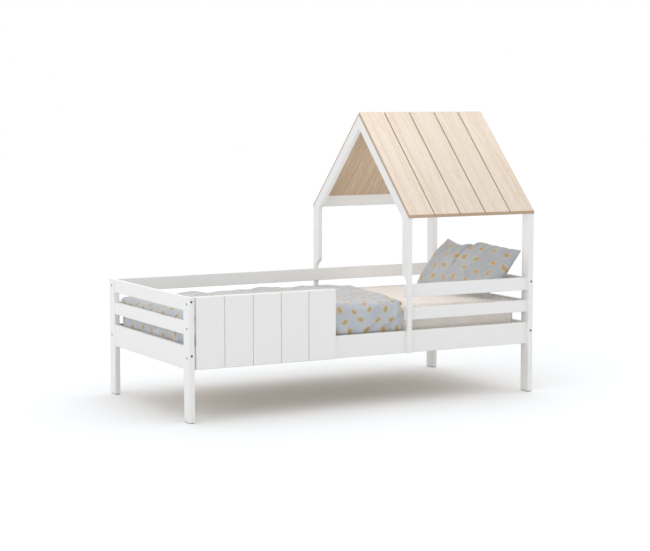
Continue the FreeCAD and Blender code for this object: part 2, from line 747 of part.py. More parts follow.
sheet_out = soft_block("SheetOut", "0", "Chamfer", value("sheet_chamfer"))
sheet_in = soft_block("SheetIn", "sheet_thick", "Chamfer", value("foam_chamfer"))
open_low = (f"sheet_from_foot - {HALF_LONG} + sheet_hem", "-sheet_wide / 2 + sheet_hem", "slat_top - 1")
open_size = ("sheet_long - 2 * sheet_hem", "sheet_wide - 2 * sheet_hem", "sheet_tall / 2")
underside = simple_box("SheetOpening", open_low, open_size)
hollow = document.addObject("Part::Fuse", "SheetHollow")
hollow.Base = sheet_in
hollow.Tool = underside
sheet = document.addObject("Part::Cut", "FittedSheet")
sheet.Base = sheet_out
sheet.Tool = hollow
keep(sheet, "fitted_sheet")


# ---------------------------------------------------------------- quilt


def quilt_section(station):
    """One outline across the quilt: skirts, round shoulders and three shallow billows on top.

    station runs from 0 at the foot to 1 at the head. The outline is tilted in plan, because the
    quilt is folded back further on the far side, and it thins out towards its open end.
    """
    side = value("quilt_side")
    bed_top = value("slat_top") + value("sheet_tall")
    foot_x = -value("bed_length") / 2 + value("post_thin") + 1.5
    near_x = foot_x + station * (value("quilt_end_near") - foot_x)
    far_x = foot_x + station * (value("quilt_end_far") - foot_x)
    fullness = min(1, 3 * (1 - station) + 0.5)
    crown = value("quilt_crown") * fullness
    top = bed_top + crown
    skirt = bed_top - value("quilt_skirt")
    shoulder = 26 * fullness + 4
    wave = value("quilt_wave")

    def point(y, z):
        share = (y + side) / (2 * side)
        return FreeCAD.Vector(near_x + share * (far_x - near_x), y, z)

    def lift(y, offset):
        return wave * math.sin(9 * station + y / 140 + offset)

    knots = [-side + shoulder, -side / 3, side / 3, side - shoulder]
    heights = [top - 2 + lift(y, 0.5) * (0 if k in (0, 3) else 1) for k, y in enumerate(knots)]
    edges = [Part.LineSegment(point(-side, skirt), point(side, skirt))]
    edges.append(Part.LineSegment(point(side, skirt), point(side, heights[3] - shoulder)))
    bulge = shoulder * (1 - math.sqrt(0.5))
    corner = point(side - bulge, heights[3] - bulge)
    edges.append(Part.Arc(point(side, heights[3] - shoulder), corner, point(knots[3], heights[3])))
    for k in (2, 1, 0):
        middle_y = (knots[k] + knots[k + 1]) / 2
        middle_z = (heights[k] + heights[k + 1]) / 2 + 5 + lift(middle_y, 1.5 + k)
        edges.append(Part.Arc(point(knots[k + 1], heights[k + 1]), point(middle_y, middle_z), point(knots[k], heights[k])))
    corner = point(-side + bulge, heights[0] - bulge)
    edges.append(Part.Arc(point(knots[0], heights[0]), corner, point(-side, heights[0] - shoulder)))
    edges.append(Part.LineSegment(point(-side, heights[0] - shoulder), point(-side, skirt)))
    return Part.Wire([edge.toShape() for edge in edges])


quilt_stations = [0, 0.14, 0.29, 0.44, 0.59, 0.74, 0.87, 0.96, 1]
quilt_block = document.addObject("Part::Feature", "QuiltBlock")
quilt_block.Shape = Part.makeLoft([quilt_section(station) for station in quilt_stations], True, True)

CLEAR = "0.6"
room_low = (f"sheet_from_foot - {HALF_LONG} - {CLEAR}", f"-sheet_wide / 2 - {CLEAR}", "slat_top - 50")
room_size = ("sheet_long + 500", f"sheet_wide + 2 * {CLEAR}", f"sheet_tall + 50 + {CLEAR}")
bed_room = simple_box("QuiltRoom", room_low, room_size)
far_low = ("quilt_far_skirt_end", f"sheet_wide / 2 + {CLEAR} - 1.2", "slat_top - 50")
far_cut = simple_box("QuiltFarSkirt", far_low, ("400", "60", "sheet_tall + 150"))
cuts = document.addObject("Part::Fuse", "QuiltCuts")
cuts.Base = bed_room
cuts.Tool = far_cut
quilt = document.addObject("Part::Cut", "Quilt")
quilt.Base = quilt_block
quilt.Tool = cuts
keep(quilt, "duvet")


# ---------------------------------------------------------------- pillow

def pillow_section(share):
    """A lens across the pillow, between its lower and upper long seams.

    share runs from 0 at the near end to 1 at the far end, along the pillow's own X axis. Its own
    Y axis points up the lean. The pillow is fullest in the middle, and between its corners the
    seams are drawn in. Each side of the lens follows an arc in a few equal, straight steps.
    """
    along = (share - 0.5) * value("pillow_long")
    fullness = math.sin(math.pi * share)
    half_tall = value("pillow_tall") / 2 - value("pillow_drawn_in") / 2 * fullness
    half_thick = value("pillow_thick") / 2 * (0.09 + 0.91 * math.sqrt(fullness))
    radius = (half_tall ** 2 + half_thick ** 2) / (2 * half_thick)
    reach = math.asin(half_tall / radius)
    steps = int(value("pillow_steps"))
    points = []
    for side in (1, -1):
        for step in range(steps):
            angle = reach * (2 * step / steps - 1)
            height = radius * math.cos(angle) - (radius - half_thick)
            points.append(FreeCAD.Vector(along, side * radius * math.sin(angle), side * height))
    return Part.makePolygon(points + points[:1])


pillow_stations = [0, 0.05, 0.15, 0.3, 0.5, 0.7, 0.85, 0.95, 1]
pillow = document.addObject("Part::Feature", "PillowBody")
pillow.Shape = Part.makeLoft([pillow_section(share) for share in pillow_stations], True, True)
turn_across = FreeCAD.Rotation(Z_AXIS, 90 + value("pillow_turn"))
lean_back = FreeCAD.Rotation(X_AXIS, -value("pillow_lean"))
pillow.Placement.Rotation = turn_across.multiply(FreeCAD.Rotation(Z_AXIS, 180)).multiply(lean_back)
place(pillow, ("pillow_x", "pillow_y", "pillow_z"))
keep(pillow, "pillow")


# ---------------------------------------------------------------- check and write

document.recompute()
for thing in document.Objects:
    faults = [state for state in thing.State if state in ("Invalid", "Error")]
    if faults:
        raise RuntimeError(f"{thing.Name} is {faults}")
os.makedirs("parts", exist_ok=True)
for thing in sub_parts:
    shape = thing.Shape
    if shape.isNull() or not shape.isValid():
        raise RuntimeError(f"{thing.Label} has no valid shape")
    shape.exportStep(f"parts/{thing.Label}.step")
print(f"{len(sub_parts)} sub-parts written")
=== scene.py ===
# %% [markdown]
# # A house frame bed, dressed around its packed construction
# A child's single bed of white lacquered timber, with a pine roof over the pillow end. The
# timber, the screws and the joints come from the construction model and stay as they are; this
# file gives them their finish and makes the soft things: mattress, fitted sheet, quilt, pillow.
# +X runs from the foot end to the head end, +Y from the entry side to the far side, +Z is up.

# %% Load the construction
import math

import bpy
import numpy as np
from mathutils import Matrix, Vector


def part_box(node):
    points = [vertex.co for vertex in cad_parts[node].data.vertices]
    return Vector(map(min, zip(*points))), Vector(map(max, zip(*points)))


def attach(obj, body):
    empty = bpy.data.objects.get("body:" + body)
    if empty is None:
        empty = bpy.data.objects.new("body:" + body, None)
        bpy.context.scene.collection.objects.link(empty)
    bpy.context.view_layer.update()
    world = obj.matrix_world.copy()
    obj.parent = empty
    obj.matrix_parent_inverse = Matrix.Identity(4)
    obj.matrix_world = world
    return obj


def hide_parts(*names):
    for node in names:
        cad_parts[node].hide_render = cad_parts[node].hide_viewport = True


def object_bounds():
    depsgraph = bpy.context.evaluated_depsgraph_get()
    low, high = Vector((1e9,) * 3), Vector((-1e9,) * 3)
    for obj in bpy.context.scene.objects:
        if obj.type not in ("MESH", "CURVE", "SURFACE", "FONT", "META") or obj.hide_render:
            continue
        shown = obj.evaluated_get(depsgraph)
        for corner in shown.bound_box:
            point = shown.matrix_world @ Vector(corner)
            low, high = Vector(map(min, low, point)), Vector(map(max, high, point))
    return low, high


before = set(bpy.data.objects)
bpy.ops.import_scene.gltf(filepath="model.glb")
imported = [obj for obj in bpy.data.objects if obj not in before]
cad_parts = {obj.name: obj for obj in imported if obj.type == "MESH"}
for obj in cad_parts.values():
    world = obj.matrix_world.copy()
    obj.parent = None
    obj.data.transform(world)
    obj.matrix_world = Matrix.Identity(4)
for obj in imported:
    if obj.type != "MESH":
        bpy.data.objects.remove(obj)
cad_low, cad_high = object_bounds()
print("construction box", [round(x, 3) for x in (*cad_low, *cad_high)])

# %% [markdown]
# ## The camera
# The photograph was taken from the foot end's near corner, a little above the roof's ridge and
# looking down by 6 degrees, with a long lens. A camera can be set by eye, by matching vanishing
# points, or from a solved perspective; here its place and angles were solved from the bed's own
# edges, so the timbers fall where the photograph has them.

# %% Camera
CAMERA_PLACE = (-3.755, -6.952, 1.337)
LOOKS_DOWN = 0.102
TURNED_RIGHT = 0.497
SENSOR_WIDTH, FOCAL_LENGTH = 36, 98.2

lens = bpy.data.cameras.new("photo_camera")
lens.sensor_width = SENSOR_WIDTH
lens.lens = FOCAL_LENGTH
camera = bpy.data.objects.new("photo_camera", lens)
camera.location = CAMERA_PLACE
camera.rotation_euler = (math.pi / 2 - LOOKS_DOWN, 0, -TURNED_RIGHT)
bpy.context.scene.collection.objects.link(camera)
bpy.context.scene.camera = camera
bpy.context.scene.view_settings.view_transform = "Standard"
print("camera at", tuple(camera.location))

# %% [markdown]
# ## Building materials from nodes
# A material can be painted, photographed or worked out by nodes. Nodes suit a part that is seen
# from any distance: grain and weave keep their real size. A few short helpers keep each recipe
# readable: one adds a node and feeds its sockets, the others do a sum, a ramp or a mix.


# %% Node helpers
def feed(tree, socket, value):
    """Link a socket to another one, or set its own value."""
    if isinstance(value, bpy.types.NodeSocket):
        tree.links.new(value, socket)
    else:
        socket.default_value = value


def add(tree, kind, inputs=None, **settings):
    """A node with its settings made and its inputs, by name or number, fed."""
    made = tree.nodes.new(kind)
    for name, setting in settings.items():
        setattr(made, name, setting)
    for socket, value in (inputs or {}).items():
        feed(tree, made.inputs[socket], value)
    return made


def calc(tree, operation, *terms):
    """One sum on numbers."""
    return add(tree, "ShaderNodeMath", dict(enumerate(terms)), operation=operation).outputs[0]


def vector(tree, operation, *terms):
    """One sum on vectors; a length, distance or dot product comes out as a number."""
    made = add(tree, "ShaderNodeVectorMath", dict(enumerate(terms)), operation=operation)
    number = operation in ("DOT_PRODUCT", "LENGTH", "DISTANCE")
    return made.outputs["Value" if number else "Vector"]


def between(tree, value, low, high, to_low=0.0, to_high=1.0):
    """A value brought smoothly from one range to another, and held at its ends."""
    inputs = {"Value": value, "From Min": low, "From Max": high, "To Min": to_low, "To Max": to_high}
    made = add(tree, "ShaderNodeMapRange", inputs, interpolation_type="SMOOTHSTEP")
    return made.outputs["Result"]


def mix_colours(tree, share, first, second, blend="MIX"):
    """Two colours mixed by a share from 0, all first, to 1, all second."""
    made = add(tree, "ShaderNodeMix", {0: share, 6: first, 7: second}, data_type="RGBA", blend_type=blend)
    return made.outputs[2]


def noise(tree, place, scale, detail=2.0, roughness=0.5, distortion=0.0):
    """Soft noise around 0.5."""
    inputs = {"Vector": place, "Scale": scale, "Detail": detail, "Roughness": roughness}
    inputs["Distortion"] = distortion
    return add(tree, "ShaderNodeTexNoise", inputs).outputs["Fac"]


def shaded(tree, colour, value):
    """A colour made lighter or darker: all three channels are multiplied by one value."""
    grey = add(tree, "ShaderNodeCombineColor", {0: value, 1: value, 2: value}).outputs[0]
    return mix_colours(tree, 1.0, colour, grey, "MULTIPLY")


def chance_of(tree, number):
    """A chance value from 0 to 1 that belongs to a whole number."""
    made = add(tree, "ShaderNodeTexWhiteNoise", {"W": number}, noise_dimensions="1D")
    return made.outputs["Value"]


def object_place(tree):
    """The object's own coordinates."""
    return tree.nodes.new("ShaderNodeTexCoord").outputs["Object"]


def true_face(tree):
    """The normal of the flat face, without smoothing or bump."""
    return tree.nodes.new("ShaderNodeNewGeometry").outputs["True Normal"]


def stretched(tree, place, factors):
    """A place scaled by its own factor along each axis."""
    return vector(tree, "MULTIPLY", place, factors)


# %% Node group and material helpers
def effect(name, inputs, outputs):
    """An empty shader node group with named sockets, and its two end nodes.

    Each socket is given as a name, a kind such as Float or Vector, and for inputs a start value.
    """
    tree = bpy.data.node_groups.new(name, "ShaderNodeTree")
    for label, kind, start in inputs:
        socket = tree.interface.new_socket(label, in_out="INPUT", socket_type="NodeSocket" + kind)
        socket.default_value = start
    for label, kind in outputs:
        tree.interface.new_socket(label, in_out="OUTPUT", socket_type="NodeSocket" + kind)
    return tree, tree.nodes.new("NodeGroupInput").outputs, tree.nodes.new("NodeGroupOutput")


def use(tree, group, inputs):
    """A node group placed in a material with its own values."""
    made = tree.nodes.new("ShaderNodeGroup")
    made.node_tree = group
    for socket, value in inputs.items():
        feed(tree, made.inputs[socket], value)
    return made.outputs


def new_material(name):
    """A material with an empty Principled surface; gives the material, its tree and the shader."""
    material = bpy.data.materials.new(name)
    material.use_nodes = True
    tree = material.node_tree
    return material, tree, tree.nodes["Principled BSDF"]


def bump(tree, height, strength, depth, normal=None):
    """A normal that stands proud by a height from 0 to 1 times a depth in metres."""
    inputs = {"Height": height, "Strength": strength, "Distance": depth}
    if normal is not None:
        inputs["Normal"] = normal
    return add(tree, "ShaderNodeBump", inputs).outputs["Normal"]


# %% [markdown]
# ## Effects that several finishes share
# Timber of every kind has annual rings and fibres that run along the board; every edge that
# hands touch is rounded and rubbed a little; every cloth has a weave and small creases. Each of
# these is a node group, built once, and placed in each finish with its own values.

# %% Wood figure
wood_figure, given, wanted = effect(
    "wood_figure",
    [("Along grain", "Vector", (0, 0, 0)), ("Board", "Float", 0.0), ("Rings", "Float", 9.0)],
    [("Ring", "Float"), ("Fibre", "Float"), ("Cloud", "Float")],
)
tree = wood_figure
# X of the incoming place runs along the board. Rings are the contour lines of a noise field that
# is drawn out along the grain, so they close into flames as they do on a flat-sawn board.
board_shift = vector(tree, "SCALE", (3.1, 7.7, 1.3))
feed(tree, board_shift.node.inputs["Scale"], given["Board"])
place = vector(tree, "ADD", given["Along grain"], board_shift)
field = noise(tree, stretched(tree, place, (0.55, 10.0, 10.0)), 1.0, 1.0, 0.35, 0.10)
turns = calc(tree, "FRACT", calc(tree, "MULTIPLY", field, given["Rings"]))
early = between(tree, turns, 0.15, 0.86)
late = between(tree, turns, 0.9, 1.0, 1.0, 0.0)
feed(tree, wanted.inputs["Ring"], calc(tree, "MULTIPLY", early, late))
fibre = noise(tree, stretched(tree, place, (5.0, 300.0, 300.0)), 1.0, 4.0, 0.62)
feed(tree, wanted.inputs["Fibre"], fibre)
cloud = noise(tree, stretched(tree, place, (0.9, 26.0, 26.0)), 1.0, 3.0, 0.55)
feed(tree, wanted.inputs["Cloud"], cloud)
print("effect", wood_figure.name)

# %% Rubbed edges
# The angle between the true face and a normal rounded over a small radius is large only along
# the arrises. Noise breaks the rubbed line up.
rubbed_edges, given, wanted = effect(
    "rubbed_edges",
    [("Place", "Vector", (0, 0, 0)), ("Radius", "Float", 0.0015), ("Patchiness", "Float", 60.0)],
    [("Rubbed", "Float"), ("Normal", "Vector")],
)
tree = rubbed_edges
rounded = add(tree, "ShaderNodeBevel", {"Radius": given["Radius"]}, samples=6)
alike = vector(tree, "DOT_PRODUCT", rounded.outputs["Normal"], true_face(tree))
line = between(tree, alike, 0.999, 0.93)
patches = between(tree, noise(tree, given["Place"], given["Patchiness"], 3.0), 0.35, 0.65)
feed(tree, wanted.inputs["Rubbed"], calc(tree, "MULTIPLY", line, patches))
feed(tree, wanted.inputs["Normal"], rounded.outputs["Normal"])
print("effect", rubbed_edges.name)

# %% Plain weave
# Two families of threads cross: the height is the product of a wave along and a wave across, with
# slubs where a thread runs thicker.
plain_weave, given, wanted = effect(
    "plain_weave",
    [("On cloth", "Vector", (0, 0, 0)), ("Thread", "Float", 0.001)],
    [("Height", "Float"), ("Slub", "Float")],
)
tree = plain_weave
axes = add(tree, "ShaderNodeSeparateXYZ", {0: given["On cloth"]}).outputs
turn = calc(tree, "DIVIDE", math.pi, given["Thread"])
warp = calc(tree, "SINE", calc(tree, "MULTIPLY", axes[0], turn))
weft = calc(tree, "SINE", calc(tree, "MULTIPLY", axes[1], turn))
crossing = calc(tree, "MULTIPLY_ADD", calc(tree, "MULTIPLY", warp, weft), 0.5, 0.5)
feed(tree, wanted.inputs["Height"], crossing)
thick = noise(tree, stretched(tree, given["On cloth"], (40.0, 900.0, 40.0)), 1.0, 2.0)
thin = noise(tree, stretched(tree, given["On cloth"], (900.0, 40.0, 40.0)), 1.0, 2.0)
both_ways = calc(tree, "ADD", thick, thin)
feed(tree, wanted.inputs["Slub"], calc(tree, "MULTIPLY", both_ways, 0.5))
print("effect", plain_weave.name)

# %% Creases of washed cotton
# Ridged noise: the distance from the middle value of a noise is smallest along thin lines, which
# read as small creases. Two sizes are added.
cotton_creases, given, wanted = effect(
    "cotton_creases",
    [("Place", "Vector", (0, 0, 0)), ("Size", "Float", 14.0)],
    [("Height", "Float")],
)
tree = cotton_creases
sum_of_creases = 0.0
for finer, share in ((1.0, 0.7), (2.6, 0.3)):
    scale = calc(tree, "MULTIPLY", given["Size"], finer)
    field = noise(tree, given["Place"], scale, 1.5, 0.45, 0.8)
    ridge = calc(tree, "ABSOLUTE", calc(tree, "SUBTRACT", field, 0.5))
    soft = between(tree, ridge, 0.0, 0.14)
    sum_of_creases = calc(tree, "MULTIPLY_ADD", soft, share, sum_of_creases)
feed(tree, wanted.inputs["Height"], sum_of_creases)
print("effect", cotton_creases.name)

# %% [markdown]
# ### The printed motifs
# Quilt and pillow case are printed with small mustard motifs on soft blue grey. The print here is
# a plain one of the same colours and size: a seed and a leaf at a chance angle, in staggered rows.
# A print could be an image; as a formula it stays sharp, and each motif can differ a little.

# %% Seed and leaf print
seed_print, given, wanted = effect(
    "seed_print",
    [("On cloth", "Vector", (0, 0, 0)), ("Column", "Float", 0.07), ("Row", "Float", 0.046),
     ("Size", "Float", 0.0095)],
    [("Motif", "Float"), ("Halo", "Float"), ("Chance", "Float")],
)
tree = seed_print
axes = add(tree, "ShaderNodeSeparateXYZ", {0: given["On cloth"]}).outputs
row_place = calc(tree, "DIVIDE", axes[1], given["Row"])
row_number = calc(tree, "FLOOR", row_place)
stagger = calc(tree, "MULTIPLY", row_number, 0.38)
column_place = calc(tree, "ADD", calc(tree, "DIVIDE", axes[0], given["Column"]), stagger)
column_number = calc(tree, "FLOOR", column_place)
cell = add(tree, "ShaderNodeCombineXYZ", {0: column_number, 1: row_number}).outputs[0]
chance = add(tree, "ShaderNodeTexWhiteNoise", {"Vector": cell}, noise_dimensions="2D").outputs
in_x = calc(tree, "SUBTRACT", calc(tree, "FRACT", column_place), 0.5)
in_y = calc(tree, "SUBTRACT", calc(tree, "FRACT", row_place), 0.5)
size_x = calc(tree, "MULTIPLY", in_x, given["Column"])
size_y = calc(tree, "MULTIPLY", in_y, given["Row"])
local = add(tree, "ShaderNodeCombineXYZ", {0: size_x, 1: size_y}).outputs[0]
drift = vector(tree, "SUBTRACT", chance["Color"], (0.5, 0.5, 0.5))
drift = vector(tree, "MULTIPLY", drift, (0.024, 0.012, 0.0))
local = vector(tree, "ADD", local, drift)
angle = calc(tree, "MULTIPLY", chance["Value"], 2 * math.pi)
turned = add(tree, "ShaderNodeVectorRotate", {"Vector": local, "Angle": angle}, rotation_type="Z_AXIS")
scaled = vector(tree, "SCALE", turned.outputs[0])
feed(tree, scaled.node.inputs["Scale"], calc(tree, "DIVIDE", 1.0, given["Size"]))
seed = vector(tree, "LENGTH", vector(tree, "ADD", scaled, (0.32, 0.18, 0.0)))
leaf_place = vector(tree, "ADD", scaled, (-0.36, -0.24, 0.0))
leaf = vector(tree, "LENGTH", vector(tree, "MULTIPLY", leaf_place, (0.95, 1.45, 1.0)))
shape = calc(tree, "SMOOTH_MIN", seed, calc(tree, "ADD", leaf, 0.05), 0.35)
ragged = noise(tree, given["On cloth"], 190.0, 2.0)
shape = calc(tree, "MULTIPLY_ADD", calc(tree, "SUBTRACT", ragged, 0.5), 0.7, shape)
feed(tree, wanted.inputs["Motif"], between(tree, shape, 1.2, 0.35))
feed(tree, wanted.inputs["Halo"], between(tree, shape, 1.7, 0.8))
feed(tree, wanted.inputs["Chance"], chance["Value"])
print("effect", seed_print.name)

# %% [markdown]
# ## White lacquer
# The frame is planed softwood under two coats of white satin lacquer. It could be a plain white
# with some gloss, but a painted board still shows its grain as a very fine relief, the sprayed
# film has an orange-peel swell, and the arrises are rounded and a little greyer where the film
# is thin. The relief follows each piece's own direction, so there is one recipe with a direction.


# %% White lacquer along a direction
def board_axes(tree, along, across):
    """The object's own coordinates, turned so that X runs along the grain and Y across it."""
    place = object_place(tree)
    out = tuple(float(x) for x in np.cross(along, across))
    numbers = [vector(tree, "DOT_PRODUCT", place, axis) for axis in (along, across, out)]
    return add(tree, "ShaderNodeCombineXYZ", dict(enumerate(numbers))).outputs[0]


LACQUER = (0.845, 0.848, 0.845, 1)
LACQUER_THIN = (0.70, 0.70, 0.69, 1)
LACQUER_WARM = (0.86, 0.852, 0.835, 1)


def white_lacquer(name, along, across):
    """Satin white over planed timber whose grain runs in one direction."""
    material, tree, shader = new_material(name)
    place = board_axes(tree, along, across)
    figure = use(tree, wood_figure, {"Along grain": place, "Board": 0.37, "Rings": 7.0})
    edges = use(tree, rubbed_edges, {"Place": place, "Radius": 0.0018, "Patchiness": 45.0})
    tone = mix_colours(tree, figure["Cloud"], LACQUER, LACQUER_WARM)
    thin = calc(tree, "MULTIPLY", edges["Rubbed"], 0.35)
    feed(tree, shader.inputs["Base Color"], mix_colours(tree, thin, tone, LACQUER_THIN))
    peel = noise(tree, place, 900.0, 1.0)
    gloss = between(tree, noise(tree, place, 9.0, 3.0), 0.3, 0.7, 0.36, 0.46)
    feed(tree, shader.inputs["Roughness"], gloss)
    relief = calc(tree, "MULTIPLY_ADD", figure["Ring"], 0.6, calc(tree, "MULTIPLY", figure["Fibre"], 0.4))
    film = calc(tree, "MULTIPLY_ADD", peel, 0.25, relief)
    feed(tree, shader.inputs["Normal"], bump(tree, film, 0.25, 0.00025, edges["Normal"]))
    return material


SLOPES = {"near": -1, "far": 1}
SLANT = math.sqrt(0.5)
DOWN_SLOPE = {side: (0.0, sign * SLANT, -SLANT) for side, sign in SLOPES.items()}
ALONG_BED, ACROSS_BED, UPRIGHT = (1.0, 0.0, 0.0), (0.0, 1.0, 0.0), (0.0, 0.0, 1.0)
lacquer = {
    "x": white_lacquer("white_lacquer_along", ALONG_BED, UPRIGHT),
    "y": white_lacquer("white_lacquer_across", ACROSS_BED, UPRIGHT),
    "z": white_lacquer("white_lacquer_upright", UPRIGHT, ACROSS_BED),
    "near": white_lacquer("white_lacquer_near_slope", DOWN_SLOPE["near"], ALONG_BED),
    "far": white_lacquer("white_lacquer_far_slope", DOWN_SLOPE["far"], ALONG_BED),
}
print(len(lacquer), "directions of white lacquer")

# %% [markdown]
# ## Pine
# The roof boards are pine, whitewashed on the weather side so that the pink-brown figure shows
# through a pale veil; painted light makes the wash paler towards the ridge. Underneath they are left
# unwashed, warmer and darker, the darkness partly painted shade under the roof, and white past the
# eave beam; the sawn edges are brown, which on the eave ends also stands for painted shade. Each
# board is cut from another place in the log, so its place along the roof gives it a tone and a
# figure of its own. The slats and bearers are the same wood, planed and left bare.

# %% Roof pine
ROOF_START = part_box("roof_board_near_1")[0].x
ROOF_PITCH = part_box("roof_board_near_2")[0].x - ROOF_START
HALF_JOINT = 0.0008
WASHED_LIGHT, WASHED_DARK = (0.900, 0.790, 0.677, 1), (0.777, 0.630, 0.502, 1)
# Unwashed pine underneath; its darkness is partly painted shade under the roof.
BARE_SHADED_LIGHT, BARE_SHADED_DARK = (0.660, 0.515, 0.375, 1), (0.505, 0.360, 0.240, 1)
# Brown of the sawn wood; on the eave end faces it stands for painted shade as well.
CUT_EDGE_AND_SHADE = (0.500, 0.365, 0.250, 1)
# Where the painted ridge light is strongest, and the length down the slope over which it fades.
RIDGE_PLACE = -float(cad_high.z) * SLANT
SLOPE_LENGTH = 0.62
BEAM_BACK, BEAM_BLEND = 0.4, 0.004


def roof_pine(name, side):
    """Pine boards on one slope: pale wash above, painted lighter to the ridge; unwashed, warmer and darker
    below, partly as painted shade; brown on the edges.
    """
    material, tree, shader = new_material(name)
    place = board_axes(tree, DOWN_SLOPE[side], ALONG_BED)
    x = vector(tree, "DOT_PRODUCT", place, (0, 1, 0))
    from_start = calc(tree, "SUBTRACT", x, ROOF_START - HALF_JOINT)
    number = calc(tree, "FLOOR", calc(tree, "DIVIDE", from_start, ROOF_PITCH))
    board = chance_of(tree, calc(tree, "ADD", number, 5.0 * SLOPES[side]))
    figure = use(tree, wood_figure, {"Along grain": place, "Board": board, "Rings": 17.0})
    edges = use(tree, rubbed_edges, {"Place": place, "Radius": 0.0012, "Patchiness": 70.0})
    cloud = between(tree, figure["Cloud"], 0.3, 0.7, 0.0, 0.38)
    streak = calc(tree, "MULTIPLY_ADD", figure["Ring"], 0.26, cloud)
    fleck = noise(tree, stretched(tree, place, (28.0, 190.0, 190.0)), 1.0, 3.0, 0.6)
    streak = calc(tree, "ADD", streak, between(tree, fleck, 0.42, 0.66, 0.0, 0.30))
    fibre = between(tree, figure["Fibre"], 0.32, 0.72, 0.0, 0.36)
    depth = calc(tree, "ADD", streak, fibre)
    washed = mix_colours(tree, between(tree, depth, 0.12, 1.1), WASHED_LIGHT, WASHED_DARK)
    bare_shaded = mix_colours(tree, between(tree, depth, 0.1, 0.95), BARE_SHADED_LIGHT, BARE_SHADED_DARK)
    down_place = vector(tree, "DOT_PRODUCT", place, (1, 0, 0))
    # Painted light: the wash is made lighter towards the ridge and darker towards the eave.
    painted_ridge_light = between(tree, down_place, RIDGE_PLACE, RIDGE_PLACE + SLOPE_LENGTH, 1.03, 0.91)
    washed = shaded(tree, washed, painted_ridge_light)
    faces_out = vector(tree, "DOT_PRODUCT", true_face(tree), (0.0, SLOPES[side] * SLANT, SLANT))
    # Side and end faces take the sawn brown, partly as painted shade at the eave ends.
    washed = mix_colours(tree, between(tree, faces_out, 0.95, 0.8), washed, CUT_EDGE_AND_SHADE)
    from_ridge = vector(tree, "DOT_PRODUCT", place, (SLANT, 0, -SLOPES[side] * SLANT))
    past_beam = between(tree, from_ridge, BEAM_BACK, BEAM_BACK + BEAM_BLEND)
    bare_shaded = mix_colours(tree, past_beam, bare_shaded, LACQUER)
    # Faces turned down take the unwashed colours, which carry painted shade as well.
    colour = mix_colours(tree, between(tree, faces_out, -0.6, -0.2), bare_shaded, washed)
    colour = shaded(tree, colour, between(tree, board, 0.0, 1.0, 0.94, 1.03))
    worn = calc(tree, "MULTIPLY", edges["Rubbed"], 0.5)
    feed(tree, shader.inputs["Base Color"], mix_colours(tree, worn, colour, WASHED_DARK))
    feed(tree, shader.inputs["Roughness"], between(tree, depth, 0.0, 1.0, 0.66, 0.54))
    height = calc(tree, "MULTIPLY_ADD", figure["Ring"], 0.5, calc(tree, "MULTIPLY", figure["Fibre"], 0.6))
    feed(tree, shader.inputs["Normal"], bump(tree, height, 0.5, 0.0004, edges["Normal"]))
    return material


pine_roof = {side: roof_pine("roof_pine_" + side, side) for side in SLOPES}


# %% Bare pine of the slat base
SLAT_PITCH = 0.125
PLANED_LIGHT, PLANED_DARK = (0.78, 0.62, 0.42, 1), (0.58, 0.38, 0.2, 1)


def bare_pine(name, along, across):
    """Planed pine without a finish."""
    material, tree, shader = new_material(name)
    place = board_axes(tree, along, across)
    lengthwise = vector(tree, "DOT_PRODUCT", place, (0, 1, 0))
    board = chance_of(tree, calc(tree, "FLOOR", calc(tree, "DIVIDE", lengthwise, SLAT_PITCH)))
    figure = use(tree, wood_figure, {"Along grain": place, "Board": board, "Rings": 6.0})
    edges = use(tree, rubbed_edges, {"Place": place, "Radius": 0.001, "Patchiness": 90.0})
    depth = calc(tree, "MULTIPLY_ADD", figure["Ring"], 0.6, calc(tree, "MULTIPLY", figure["Fibre"], 0.35))
    colour = mix_colours(tree, between(tree, depth, 0.1, 0.9), PLANED_LIGHT, PLANED_DARK)
    feed(tree, shader.inputs["Base Color"], mix_colours(tree, edges["Rubbed"], colour, PLANED_LIGHT))
    feed(tree, shader.inputs["Roughness"], between(tree, figure["Fibre"], 0.3, 0.7, 0.55, 0.68))
    feed(tree, shader.inputs["Normal"], bump(tree, depth, 0.5, 0.0004, edges["Normal"]))
    return material


pine_bare = {
    "x": bare_pine("plain_pine_along", ALONG_BED, ACROSS_BED),
    "y": bare_pine("plain_pine_across", ACROSS_BED, ALONG_BED),
}
print("pine:", [finish.name for finish in (*pine_roof.values(), *pine_bare.values())])

# %% [markdown]
# ## Screws and floor glides
# The connector screws are blackened steel with a hexagon socket, turned on a lathe and rubbed
# bright round the rim. The glides are a hard dark plastic with a fine moulded grain.


# %% Steel and plastic
def screw_steel(name, dark, bright):
    """Blackened steel, turned in rings and rubbed bright on its edges."""
    material, tree, shader = new_material(name)
    place = object_place(tree)
    edges = use(tree, rubbed_edges, {"Place": place, "Radius": 0.0005, "Patchiness": 400.0})
    blotch = noise(tree, place, 320.0, 3.0)
    tone = mix_colours(tree, between(tree, blotch, 0.3, 0.7, 0.0, 0.35), dark, bright)
    feed(tree, shader.inputs["Base Color"], mix_colours(tree, edges["Rubbed"], tone, bright))
    feed(tree, shader.inputs["Roughness"], between(tree, blotch, 0.3, 0.7, 0.3, 0.48))
    shader.inputs["Metallic"].default_value = 0.9
    turned = noise(tree, stretched(tree, place, (4000.0, 4000.0, 600.0)), 1.0, 1.0)
    feed(tree, shader.inputs["Normal"], bump(tree, turned, 0.2, 0.00005, edges["Normal"]))
    return material


